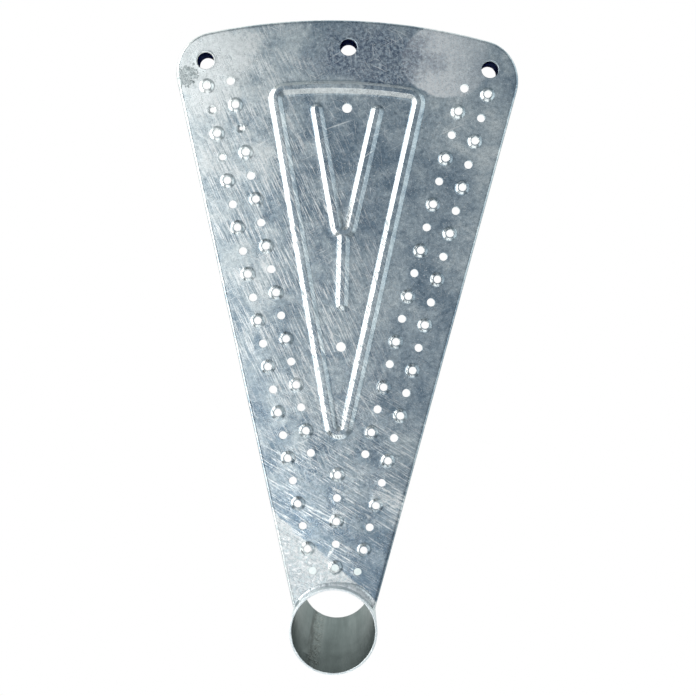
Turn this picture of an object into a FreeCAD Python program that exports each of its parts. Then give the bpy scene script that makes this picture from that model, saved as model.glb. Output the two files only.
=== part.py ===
import FreeCAD, Part
import math
import os

# Spiral-stair tread: a pressed, galvanised sheet pan welded to a sleeve that
# threads over the centre column of the stair.
# Frame: origin on the sleeve's axis at the height of the walking surface,
# +Z up along the sleeve, +Y from the sleeve to the outer edge. Millimetres.

os.makedirs("parts", exist_ok=True)
V = FreeCAD.Vector
UP = V(0, 0, 1)

# ---- driving dimensions -------------------------------------------------
SHEET = 2.5              # sheet thickness of the pan
R_OUTER = 609.0          # outer edge, radius about the sleeve's axis
SIDE_X0 = 37.4           # half width where the side lines cross Y = 0
SIDE_SLOPE = 0.2413      # side lines: x = SIDE_X0 + SIDE_SLOPE * y (13.6 deg)
CORNER_R = 40.0          # plan radius of the two outer corners
FLANGE = 40.0            # height of the folded-down edge, top to lower lip
BEND_R = 4.0             # outer radius of the fold
HUB_GAP_R = 46.0         # round cut-out of the pan in front of the sleeve

TUBE_R = 44.45           # sleeve, 88.9 x 2.3 tube
TUBE_WALL = 2.3
TUBE_TOP = 12.0          # sleeve stands proud of the walking surface
TUBE_LEN = 167.0         # one riser, with spacer rings between treads

BAL_CIRCLE = 582.0       # baluster holes, radius about the sleeve's axis
BAL_ANGLE = 14.0         # outer two, degrees either side of the middle one
BAL_HOLE_R = 8.5         # hole in the sheet
BUSH_BORE_R = 8.2        # bush under the sheet
BUSH_OUT_R = 11.0
BUSH_DEPTH = 15.0        # walking surface to the bush's lower end

ROW_ANGLE = 13.544       # the dimple rows, degrees from the middle line
PITCH = 47.175           # dimple to dimple along a row
OUT_FIRST = (138.96, 539.67)   # first dimple of the outer row
OUT_COUNT = 11
OUT_DRAIN = 23.5               # drain hole after each dimple
IN_FIRST = (110.31, 522.15)    # first dimple of the inner row
IN_COUNT = 8
IN_DRAIN = -24.0               # drain hole before each dimple
MID_FIRST = 157.04             # first dimple of the middle row, y
MID_PITCH = 47.39
MID_COUNT = 3
CENTRE_Y = (522.7, 286.3)      # two plain holes on the middle line
DIMPLE_R = 7.3           # foot of a dimple
DIMPLE_TOP_R = 4.9       # its crown
DIMPLE_H = 2.8
DIMPLE_HOLE_R = 3.75
DRAIN_R = 4.1
CENTRE_HOLE_R = 4.8

RIB_H = 4.0              # stamped stiffening ribs
RIB_FOOT = 7.05          # half width at the foot
RIB_CROWN = 2.0          # half width at the crown
FRAME_SLOPE = 0.1955     # triangular rib: legs x = FRAME_SLOPE * (y - FRAME_Y0)
FRAME_Y0 = 165.9
FRAME_TOP_R = 542.5      # upper side, radius about the sleeve's axis
FRAME_TIP_R = 8.0        # centre-line radii of its corners
FRAME_CORNER_R = 10.0
Y_SLOPE = 0.2014         # Y-shaped rib: arms x = Y_SLOPE * (y - Y_Y0)
Y_Y0 = 371.25
Y_TOP = 520.3            # centre of the arms' round ends
Y_TIP_R = 7.0            # centre-line radius of the fork
Y_FOOT = 6.8
Y_END = 329.2            # centre of the stem's round end


# ---- plan outlines ------------------------------------------------------
def line(a, b):
    return Part.LineSegment(V(a[0], a[1], 0), V(b[0], b[1], 0)).toShape()


def arc(a, m, b):
    return Part.Arc(V(a[0], a[1], 0), V(m[0], m[1], 0), V(b[0], b[1], 0)).toShape()


def polar(c, r, ang):
    return (c[0] + r * math.cos(ang), c[1] + r * math.sin(ang))


def mirror(p):
    return (-p[0], p[1])


def corner(slope, x0, r_big, r_small):
    """Centre of the round between the line x = x0 + slope*y and the circle
    r_big about the origin, and its two tangent points (right-hand side)."""
    n = math.hypot(1.0, slope)
    k = x0 - r_small * n          # parallel line through the centre
    rr = r_big - r_small
    a = 1.0 + slope * slope
    b = 2.0 * k * slope
    c = k * k - rr * rr
    y = (-b + math.sqrt(b * b - 4 * a * c)) / (2 * a)
    cen = (k + slope * y, y)
    on_line = (cen[0] + r_small / n, cen[1] - r_small * slope / n)
    s = r_big / rr
    on_arc = (cen[0] * s, cen[1] * s)
    return cen, on_line, on_arc


def pan_outline(d, y_low):
    """Plan outline of the pan, offset inwards by d."""
    n = math.hypot(1.0, SIDE_SLOPE)
    x0 = SIDE_X0 - d * n
    cen, pl, pa = corner(SIDE_SLOPE, x0, R_OUTER - d, CORNER_R - d)
    a0 = math.atan2(pl[1] - cen[1], pl[0] - cen[0])
    a1 = math.atan2(pa[1] - cen[1], pa[0] - cen[0])
    pm = polar(cen, CORNER_R - d, 0.5 * (a0 + a1))
    low = (x0 + SIDE_SLOPE * y_low, y_low)
    return Part.Wire([
        line(mirror(low), low),
        line(low, pl),
        arc(pl, pm, pa),
        arc(pa, (0, R_OUTER - d), mirror(pa)),
        arc(mirror(pa), mirror(pm), mirror(pl)),
        line(mirror(pl), mirror(low)),
    ])


def frame_outline(d):
    """Triangular rib's centre line, offset outwards by d."""
    n = math.hypot(1.0, FRAME_SLOPE)
    tip = (0.0, FRAME_Y0 + FRAME_TIP_R * n / FRAME_SLOPE)
    x0 = -FRAME_SLOPE * FRAME_Y0
    cen, pl, pa = corner(FRAME_SLOPE, x0, FRAME_TOP_R, FRAME_CORNER_R)
    ux, uy = 1.0 / n, -FRAME_SLOPE / n          # outward normal of the leg
    t = (tip[0] + (FRAME_TIP_R + d) * ux, tip[1] + (FRAME_TIP_R + d) * uy)
    low = (0.0, tip[1] - FRAME_TIP_R - d)
    q = (cen[0] + (FRAME_CORNER_R + d) * ux, cen[1] + (FRAME_CORNER_R + d) * uy)
    a0 = math.atan2(uy, ux)
    a1 = math.atan2(cen[1], cen[0])
    qm = polar(cen, FRAME_CORNER_R + d, 0.5 * (a0 + a1))
    qa = polar(cen, FRAME_CORNER_R + d, a1)
    return Part.Wire([
        arc(mirror(t), low, t),
        line(t, q),
        arc(q, qm, qa),
        arc(qa, (0, FRAME_TOP_R + d), mirror(qa)),
        arc(mirror(qa), mirror(qm), mirror(q)),
        line(mirror(q), mirror(t)),
    ])


def y_outline(d):
    """Outline of the Y-shaped rib at half width d."""
    n = math.hypot(1.0, Y_SLOPE)
    ux, uy = 1.0 / n, -Y_SLOPE / n              # outward normal of the right arm
    ax, ay = Y_SLOPE / n, 1.0 / n               # along the right arm, upwards
    fork = (0.0, Y_Y0 + Y_TIP_R * n / Y_SLOPE)
    top = (Y_SLOPE * (Y_TOP - Y_Y0), Y_TOP)
    o_top = (top[0] + d * ux, top[1] + d * uy)
    i_top = (top[0] - d * ux, top[1] - d * uy)
    c_top = (top[0] + d * ax, top[1] + d * ay)
    ro = Y_TIP_R + d
    ri = Y_TIP_R - d
    o_low = (fork[0] + ro * ux, fork[1] + ro * uy)
    i_low = (fork[0] + ri * ux, fork[1] + ri * uy)
    s_top = (d, fork[1] - math.sqrt(ro * ro - d * d))
    a0 = math.atan2(uy, ux)
    a1 = math.atan2(s_top[1] - fork[1], s_top[0])
    s_mid = polar(fork, ro, 0.5 * (a0 + a1))
    s_end = (d, Y_END)
    return Part.Wire([
        arc(mirror(s_end), (0, Y_END - d), s_end),
        line(s_end, s_top),
        arc(s_top, s_mid, o_low),
        line(o_low, o_top),
        arc(o_top, c_top, i_top),
        line(i_top, i_low),
        arc(i_low, (0, fork[1] - ri), mirror(i_low)),
        line(mirror(i_low), mirror(i_top)),
        arc(mirror(i_top), mirror(c_top), mirror(o_top)),
        line(mirror(o_top), mirror(o_low)),
        arc(mirror(o_low), mirror(s_mid), mirror(s_top)),
        line(mirror(s_top), mirror(s_end)),
    ])


def at(wire, z):
    w = wire.copy()
    w.translate(V(0, 0, z))
    return w


def tapered(w0, z0, w1, z1):
    return Part.makeLoft([at(w0, z0), at(w1, z1)], True, True)


def ring_rib(foot, crown, z0, z1):
    outer = tapered(frame_outline(foot), z0, frame_outline(crown), z1)
    inner = tapered(frame_outline(-foot), z0, frame_outline(-crown), z1)
    return outer.cut(inner)


# ---- positions of the pierced features ---------------------------------
A = math.radians(ROW_ANGLE)


def row(first, count, shift=0.0):
    return [(first[0] - (k * PITCH + shift) * math.sin(A),
             first[1] - (k * PITCH + shift) * math.cos(A)) for k in range(count)]


def both(points):
    return points + [mirror(p) for p in points]


dimples = both(row(OUT_FIRST, OUT_COUNT)) + both(row(IN_FIRST, IN_COUNT))
dimples += [(0.0, MID_FIRST - k * MID_PITCH) for k in range(MID_COUNT)]
drains = both(row(OUT_FIRST, OUT_COUNT, OUT_DRAIN)) + both(row(IN_FIRST, IN_COUNT + 1, IN_DRAIN))
drains += [(0.0, MID_FIRST - (k + 0.5) * MID_PITCH) for k in range(MID_COUNT - 1)]
b = math.radians(BAL_ANGLE)
baluster = {
    "left": (-BAL_CIRCLE * math.sin(b), BAL_CIRCLE * math.cos(b)),
    "middle": (0.0, BAL_CIRCLE),
    "right": (BAL_CIRCLE * math.sin(b), BAL_CIRCLE * math.cos(b)),
}

# ---- the pan ------------------------------------------------------------
body = Part.Face(pan_outline(0.0, 5.0)).extrude(V(0, 0, -FLANGE))
edges = [e for e in body.Edges
         if abs(e.BoundBox.ZMin) < 1e-6 and abs(e.BoundBox.ZMax) < 1e-6
         and e.BoundBox.YMax > 6.0]
body = body.makeFillet(BEND_R, edges)
inside = Part.Face(pan_outline(SHEET, 2.0)).extrude(V(0, 0, -FLANGE))
edges = [e for e in inside.Edges
         if abs(e.BoundBox.ZMin) < 1e-6 and abs(e.BoundBox.ZMax) < 1e-6
         and e.BoundBox.YMax > 6.0]
inside = inside.makeFillet(BEND_R - SHEET, edges)
inside.translate(V(0, 0, -SHEET))
pan = body.cut(inside)
pan = pan.cut(Part.makeCylinder(HUB_GAP_R, FLANGE + 20, V(0, 0, -FLANGE - 10), UP))

raised = [ring_rib(RIB_FOOT, RIB_CROWN, 0.0, RIB_H),
          tapered(y_outline(Y_FOOT), 0.0, y_outline(RIB_CROWN), RIB_H)]
raised += [Part.makeCone(DIMPLE_R, DIMPLE_TOP_R, DIMPLE_H, V(x, y, 0), UP) for x, y in dimples]
pan = pan.fuse([s for s in raised])

g = RIB_H - SHEET
hollow = [ring_rib(RIB_FOOT - 1.6, 0.8, -SHEET, g),
          tapered(y_outline(Y_FOOT - 1.6), -SHEET, y_outline(0.8), g)]
hollow += [Part.makeCone(DIMPLE_TOP_R + 0.4, DIMPLE_HOLE_R, 3.0, V(x, y, -SHEET), UP)
           for x, y in dimples]
pierced = [Part.makeCylinder(DIMPLE_HOLE_R, 12, V(x, y, -6), UP) for x, y in dimples]
pierced += [Part.makeCylinder(DRAIN_R, 12, V(x, y, -6), UP) for x, y in drains]
pierced += [Part.makeCylinder(CENTRE_HOLE_R, 12, V(0, y, -6), UP) for y in CENTRE_Y]
pierced += [Part.makeCylinder(BAL_HOLE_R, 12, V(x, y, -6), UP) for x, y in baluster.values()]
pan = pan.cut(hollow)
pan = pan.cut(pierced)
pan = pan.removeSplitter()

# ---- the sleeve ---------------------------------------------------------
z_low = TUBE_TOP - TUBE_LEN
tube = Part.makeCylinder(TUBE_R, TUBE_LEN, V(0, 0, z_low), UP).cut(
    Part.makeCylinder(TUBE_R - TUBE_WALL, TUBE_LEN + 2, V(0, 0, z_low - 1), UP))
ends = [e for e in tube.Edges if e.BoundBox.ZMax - e.BoundBox.ZMin < 1e-6]
tube = tube.makeFillet(0.5, ends)


# ---- welds --------------------------------------------------------------
def turned(profile, sweep, centre=(0.0, 0.0), start=0.0):
    """Solid of revolution of an (r, z) profile about a vertical axis."""
    pts = [V(r, 0, z) for r, z in profile]
    face = Part.Face(Part.makePolygon(pts + pts[:1]))
    face.rotate(V(0, 0, 0), UP, start)
    s = face.revolve(V(0, 0, 0), UP, sweep)
    s.translate(V(centre[0], centre[1], 0))
    return s


WELD_HALF = 52.0         # the weld in front of the sleeve, degrees each side of +Y
top_weld = turned([(TUBE_R, -SHEET), (HUB_GAP_R, -SHEET), (HUB_GAP_R, 0.0),
                   (51.0, 0.0), (50.2, 1.4), (48.2, 3.0), (46.0, 4.4), (TUBE_R, 5.2)],
                  2 * WELD_HALF, start=90.0 - WELD_HALF)
under_weld = turned([(TUBE_R, -SHEET), (51.0, -SHEET), (50.2, -SHEET - 1.6),
                     (48.0, -SHEET - 3.8), (45.8, -SHEET - 5.6), (TUBE_R, -SHEET - 6.4)],
                    2 * WELD_HALF, start=90.0 - WELD_HALF)

# vertical beads in the inside corners between the side flanges and the sleeve
k_in = SIDE_X0 - SHEET * math.hypot(1.0, SIDE_SLOPE)
aa = 1.0 + SIDE_SLOPE ** 2
bb = 2.0 * k_in * SIDE_SLOPE
cc = k_in ** 2 - TUBE_R ** 2
y_meet = (-bb + math.sqrt(bb * bb - 4 * aa * cc)) / (2 * aa)
x_meet = k_in + SIDE_SLOPE * y_meet
solid_tube = Part.makeCylinder(TUBE_R, 300, V(0, 0, -250), UP)
bead = Part.makeCylinder(3.4, FLANGE - BEND_R - 3.0, V(x_meet - 0.14, y_meet + 1.2, 1.5 - FLANGE), UP)
bead = bead.makeFillet(1.2, [e for e in bead.Edges if e.BoundBox.ZMax - e.BoundBox.ZMin < 1e-6])
side_right = bead.cut([solid_tube, pan])
side_right = max(side_right.Solids, key=lambda s: s.Volume)
side_left = side_right.mirror(V(0, 0, 0), V(1, 0, 0))


def bush(c):
    z = -BUSH_DEPTH
    s = Part.makeCylinder(BUSH_OUT_R, BUSH_DEPTH - SHEET, V(c[0], c[1], z), UP)
    s = s.makeChamfer(0.8, [e for e in s.Edges if abs(e.BoundBox.ZMax - z) < 1e-6])
    return s.cut(Part.makeCylinder(BUSH_BORE_R, 30, V(c[0], c[1], z - 5), UP))


def bush_weld(c):
    return turned([(BUSH_OUT_R, -SHEET), (14.6, -SHEET), (14.0, -SHEET - 1.2),
                   (12.6, -SHEET - 2.8), (BUSH_OUT_R, -SHEET - 3.9)], 360.0, c)


nodes = {
    "tread_plate": pan,
    "hub_tube": tube,
    "hub_weld_top": top_weld,
    "hub_weld_under": under_weld,
    "flange_weld_left": side_left,
    "flange_weld_right": side_right,
}
for side, c in baluster.items():
    nodes["baluster_bush_" + side] = bush(c)
    nodes["bush_weld_" + side] = bush_weld(c)

total = 0.0
for name, shape in nodes.items():
    if len(shape.Solids) == 1:
        shape = shape.Solids[0]
    bb = shape.BoundBox
    print("%-22s solids %d valid %s volume %.0f  x %.1f..%.1f y %.1f..%.1f z %.1f..%.1f" % (
        name, len(shape.Solids), shape.isValid(), shape.Volume,
        bb.XMin, bb.XMax, bb.YMin, bb.YMax, bb.ZMin, bb.ZMax))
    total += shape.Volume
    shape.exportStep("parts/%s.step" % name)
print("steel mass %.2f kg" % (total * 7.85e-6))
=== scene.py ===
import math

import bpy
import numpy as np
from mathutils import Matrix, Vector
from mathutils.geometry import delaunay_2d_cdt


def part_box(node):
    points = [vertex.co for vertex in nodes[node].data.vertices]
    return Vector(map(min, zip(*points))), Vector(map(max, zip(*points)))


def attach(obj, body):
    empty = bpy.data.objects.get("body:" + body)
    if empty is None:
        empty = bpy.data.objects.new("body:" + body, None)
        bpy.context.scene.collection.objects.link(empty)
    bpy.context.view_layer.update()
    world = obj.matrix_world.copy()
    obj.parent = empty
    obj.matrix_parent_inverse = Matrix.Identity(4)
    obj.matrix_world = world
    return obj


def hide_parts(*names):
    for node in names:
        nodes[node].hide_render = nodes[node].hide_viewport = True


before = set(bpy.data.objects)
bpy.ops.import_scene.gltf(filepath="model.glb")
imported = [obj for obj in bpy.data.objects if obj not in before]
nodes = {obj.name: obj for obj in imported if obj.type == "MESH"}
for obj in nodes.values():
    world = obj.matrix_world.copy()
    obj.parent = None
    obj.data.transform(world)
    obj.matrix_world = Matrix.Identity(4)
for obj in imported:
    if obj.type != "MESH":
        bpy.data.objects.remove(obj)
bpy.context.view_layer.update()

MM = 0.001

# ---------------------------------------------------------------------------
# Dimensions shared with the CAD part, in millimetres
# ---------------------------------------------------------------------------
SHEET = 2.5
R_OUTER, SIDE_X0, SIDE_SLOPE, CORNER_R = 609.0, 37.4, 0.2413, 40.0
FLANGE, BEND_R, HUB_GAP_R = 40.0, 4.0, 46.0
TUBE_R, TUBE_WALL, TUBE_TOP, TUBE_LEN = 44.45, 2.3, 12.0, 167.0
BAL_CIRCLE, BAL_ANGLE, BAL_HOLE_R = 582.0, 14.0, 8.5
BUSH_BORE_R, BUSH_OUT_R, BUSH_DEPTH = 8.2, 11.0, 15.0
ROW_ANGLE, PITCH = math.radians(13.544), 47.175
OUT_FIRST, OUT_COUNT, OUT_DRAIN = (138.96, 539.67), 11, 23.5
IN_FIRST, IN_COUNT, IN_DRAIN = (110.31, 522.15), 8, -24.0
MID_FIRST, MID_PITCH, MID_COUNT = 157.04, 47.39, 3
CENTRE_Y = (522.7, 286.3)
DIMPLE_R, DIMPLE_TOP_R, DIMPLE_H, DIMPLE_HOLE_R = 7.3, 4.9, 2.8, 3.75
DRAIN_R, CENTRE_HOLE_R = 4.1, 4.8
RIB_H, RIB_FOOT, RIB_CROWN, Y_FOOT = 4.0, 7.05, 2.0, 6.8
FRAME_SLOPE, FRAME_Y0, FRAME_TOP_R, FRAME_TIP_R, FRAME_CORNER_R = 0.1955, 165.9, 542.5, 8.0, 10.0
Y_SLOPE, Y_Y0, Y_TOP, Y_TIP_R, Y_END = 0.2014, 371.25, 520.3, 7.0, 329.2

rng = np.random.default_rng(7)


# ---------------------------------------------------------------------------
# Small tools
# ---------------------------------------------------------------------------
def make_piece(name, verts, faces, material, replaced, sharp=40.0):
    """A closed mesh from vertices in millimetres."""
    me = bpy.data.meshes.new(name)
    me.from_pydata([(float(a) * MM, float(b) * MM, float(c) * MM) for a, b, c in verts], [], faces)
    me.validate(clean_customdata=False)
    me.update()
    me.polygons.foreach_set("use_smooth", [True] * len(me.polygons))
    me.set_sharp_from_angle(angle=math.radians(sharp))
    me.materials.append(material)
    ob = bpy.data.objects.new(name, me)
    bpy.context.scene.collection.objects.link(ob)
    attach(ob, "root")
    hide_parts(replaced)
    return ob


def closed_faces(faces):
    """Drop the flat slivers left outside a straight outline, so that every edge has two faces."""
    def sides(f):
        return [(a, b) if a < b else (b, a) for a, b in zip(f, f[1:] + f[:1])]
    owners = {}
    for i, f in enumerate(faces):
        for e in sides(f):
            owners.setdefault(e, set()).add(i)
    stack = [e for e, o in owners.items() if len(o) == 1]
    gone = set()
    while stack:
        e = stack.pop()
        if len(owners[e]) != 1:
            continue
        i = next(iter(owners[e]))
        gone.add(i)
        for q in sides(faces[i]):
            owners[q].discard(i)
            if len(owners[q]) == 1:
                stack.append(q)
    if len(gone) > 3000:
        return faces
    return [f for i, f in enumerate(faces) if i not in gone]


def smooth(t):
    t = np.clip(t, 0.0, 1.0)
    return t * t * (3 - 2 * t)


class Waves:
    """Smooth seeded noise of a few sine waves, about -1..1."""

    def __init__(self, wavelength, count=9, seed=1, dims=2):
        r = np.random.default_rng(seed)
        k = r.normal(size=(count, dims))
        k /= np.linalg.norm(k, axis=1)[:, None]
        self.k = k * (2 * math.pi / (wavelength * r.uniform(0.65, 1.6, count)))[:, None]
        self.p = r.uniform(0, 2 * math.pi, count)
        self.a = r.uniform(0.5, 1.0, count)
        self.a /= np.sqrt((self.a ** 2).sum()) * 0.9

    def __call__(self, *xs):
        q = np.stack([np.asarray(x, float) for x in xs], -1)
        return (np.sin(q @ self.k.T + self.p) * self.a).sum(-1)


# ---------------------------------------------------------------------------
# Plan outlines
# ---------------------------------------------------------------------------
def mirrored(pts):
    return [(-x, y) for x, y in pts]


def seg(a, b, n):
    """n points from a towards b, b left out."""
    t = np.arange(n) / n
    return [(a[0] + (b[0] - a[0]) * s, a[1] + (b[1] - a[1]) * s) for s in t]


def arc(c, r, a0, a1, n):
    return [(c[0] + r * math.cos(a0 + (a1 - a0) * k / n), c[1] + r * math.sin(a0 + (a1 - a0) * k / n)) for k in range(n)]


def corner(slope, x0, r_big, r_small):
    n = math.hypot(1.0, slope)
    k = x0 - r_small * n
    rr = r_big - r_small
    a, b, c = 1.0 + slope * slope, 2.0 * k * slope, k * k - rr * rr
    y = (-b + math.sqrt(b * b - 4 * a * c)) / (2 * a)
    cen = (k + slope * y, y)
    return cen, (cen[0] + r_small / n, cen[1] - r_small * slope / n), (cen[0] * r_big / rr, cen[1] * r_big / rr)


def gap_y(x0):
    """y where the line x = x0 + slope*y leaves the round cut-out."""
    a, b, c = 1.0 + SIDE_SLOPE ** 2, 2.0 * x0 * SIDE_SLOPE, x0 * x0 - HUB_GAP_R ** 2
    return (-b + math.sqrt(b * b - 4 * a * c)) / (2 * a)


def pan_line(d, ns=190, nc=22, na=84):
    """Open outline of the pan, offset inwards by d, from the right-hand end to the left-hand one."""
    n = math.hypot(1.0, SIDE_SLOPE)
    x0 = SIDE_X0 - d * n
    cen, pl, pa = corner(SIDE_SLOPE, x0, R_OUTER - d, CORNER_R - d)
    y0 = gap_y(x0)
    start = (x0 + SIDE_SLOPE * y0, y0)
    a0 = math.atan2(pl[1] - cen[1], pl[0] - cen[0])
    a1 = math.atan2(pa[1] - cen[1], pa[0] - cen[0])
    b1 = math.atan2(pa[1], pa[0])
    right = seg(start, pl, ns) + arc(cen, CORNER_R - d, a0, a1, nc)
    top = arc((0, 0), R_OUTER - d, b1, math.pi / 2, na // 2)
    half = right + top
    return np.array(half + [(0.0, R_OUTER - d)] + mirrored(half[::-1]))


def frame_loop(d, step=4.0):
    """Triangular rib's centre line offset outwards by d, closed, anticlockwise."""
    n = math.hypot(1.0, FRAME_SLOPE)
    tip = (0.0, FRAME_Y0 + FRAME_TIP_R * n / FRAME_SLOPE)
    cen, _, _ = corner(FRAME_SLOPE, -FRAME_SLOPE * FRAME_Y0, FRAME_TOP_R, FRAME_CORNER_R)
    ux, uy = 1.0 / n, -FRAME_SLOPE / n
    a0 = math.atan2(uy, ux)
    a1 = math.atan2(cen[1], cen[0])
    rt, rc, rb = FRAME_TIP_R + d, FRAME_CORNER_R + d, FRAME_TOP_R + d
    t = (tip[0] + rt * ux, tip[1] + rt * uy)
    q = (cen[0] + rc * ux, cen[1] + rc * uy)
    half = arc(tip, rt, -math.pi / 2, a0, 12)
    half += seg(t, q, int(330 / step))
    half += arc(cen, rc, a0, a1, 14)
    half += arc((0, 0), rb, a1, math.pi / 2, int(72 / step))
    half = half + [(0.0, rb)]
    left = mirrored(half[1:-1][::-1])
    return half + left


def y_loop(d, step=3.4):
    """Outline of the Y-shaped rib at half width d, closed, anticlockwise."""
    n = math.hypot(1.0, Y_SLOPE)
    ux, uy = 1.0 / n, -Y_SLOPE / n
    fork = (0.0, Y_Y0 + Y_TIP_R * n / Y_SLOPE)
    top = (Y_SLOPE * (Y_TOP - Y_Y0), Y_TOP)
    o_top = (top[0] + d * ux, top[1] + d * uy)
    i_top = (top[0] - d * ux, top[1] - d * uy)
    ro, ri = Y_TIP_R + d, Y_TIP_R - d
    o_low = (fork[0] + ro * ux, fork[1] + ro * uy)
    i_low = (fork[0] + ri * ux, fork[1] + ri * uy)
    s_top = (d, fork[1] - math.sqrt(ro * ro - d * d))
    au = math.atan2(uy, ux)
    a1 = math.atan2(s_top[1] - fork[1], s_top[0])
    arm = int(118 / step)
    half = arc((0, Y_END), d, -math.pi / 2, 0.0, 6)
    half += seg((d, Y_END), s_top, int(65 / step))
    half += arc(fork, ro, a1, au, 5)
    half += seg(o_low, o_top, arm)
    half += arc(top, d, au, au + math.pi, 12)
    half += seg(i_top, i_low, arm)
    half += arc(fork, ri, au, -math.pi / 2, 6)
    half = half + [(0.0, fork[1] - ri)]
    return half + mirrored(half[1:-1][::-1])


# ---------------------------------------------------------------------------
# Positions of the pierced features
# ---------------------------------------------------------------------------
def row(first, count, shift=0.0):
    return [(first[0] - (k * PITCH + shift) * math.sin(ROW_ANGLE), first[1] - (k * PITCH + shift) * math.cos(ROW_ANGLE)) for k in range(count)]


def both(points):
    return points + mirrored(points)


dimples = both(row(OUT_FIRST, OUT_COUNT)) + both(row(IN_FIRST, IN_COUNT)) + [(0.0, MID_FIRST - k * MID_PITCH) for k in range(MID_COUNT)]
drains = both(row(OUT_FIRST, OUT_COUNT, OUT_DRAIN)) + both(row(IN_FIRST, IN_COUNT + 1, IN_DRAIN)) + [(0.0, MID_FIRST - (k + 0.5) * MID_PITCH) for k in range(MID_COUNT - 1)]
bal = math.radians(BAL_ANGLE)
balusters = {"left": (-BAL_CIRCLE * math.sin(bal), BAL_CIRCLE * math.cos(bal)), "middle": (0.0, BAL_CIRCLE), "right": (BAL_CIRCLE * math.sin(bal), BAL_CIRCLE * math.cos(bal))}

waviness = Waves(150.0, seed=3)
ripple = Waves(34.0, count=14, seed=5)


def sheet_z(x, y):
    """Slight unevenness of the walking surface, zero at the fold."""
    n = math.hypot(1.0, SIDE_SLOPE)
    edge = np.minimum((SIDE_X0 + SIDE_SLOPE * y - np.abs(x)) / n, R_OUTER - np.hypot(x, y))
    hub = np.hypot(x, y) - HUB_GAP_R
    fade = smooth((edge - 5.0) / 26.0) * smooth(hub / 30.0)
    return fade * (0.30 * waviness(x, y) + 0.045 * ripple(x, y))


def rounded(t, soft):
    """Ramp 1 -> 0 over t 0..1 with both ends rounded by soft."""
    def f(u):
        return np.where(u < soft, u * u / (2 * soft), u - soft / 2)
    s = 1.0 - soft
    v = np.where(t < 0.5, f(np.clip(t, 0, 1)), 1.0 * s - f(np.clip(1 - t, 0, 1)))
    return 1.0 - v / s


def rib_profile(d, foot):
    """Height of a rib at distance d from its centre line."""
    t = (np.abs(d) - RIB_CROWN + 0.35) / (foot - RIB_CROWN + 0.55)
    return RIB_H * rounded(t, 0.13)


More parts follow.
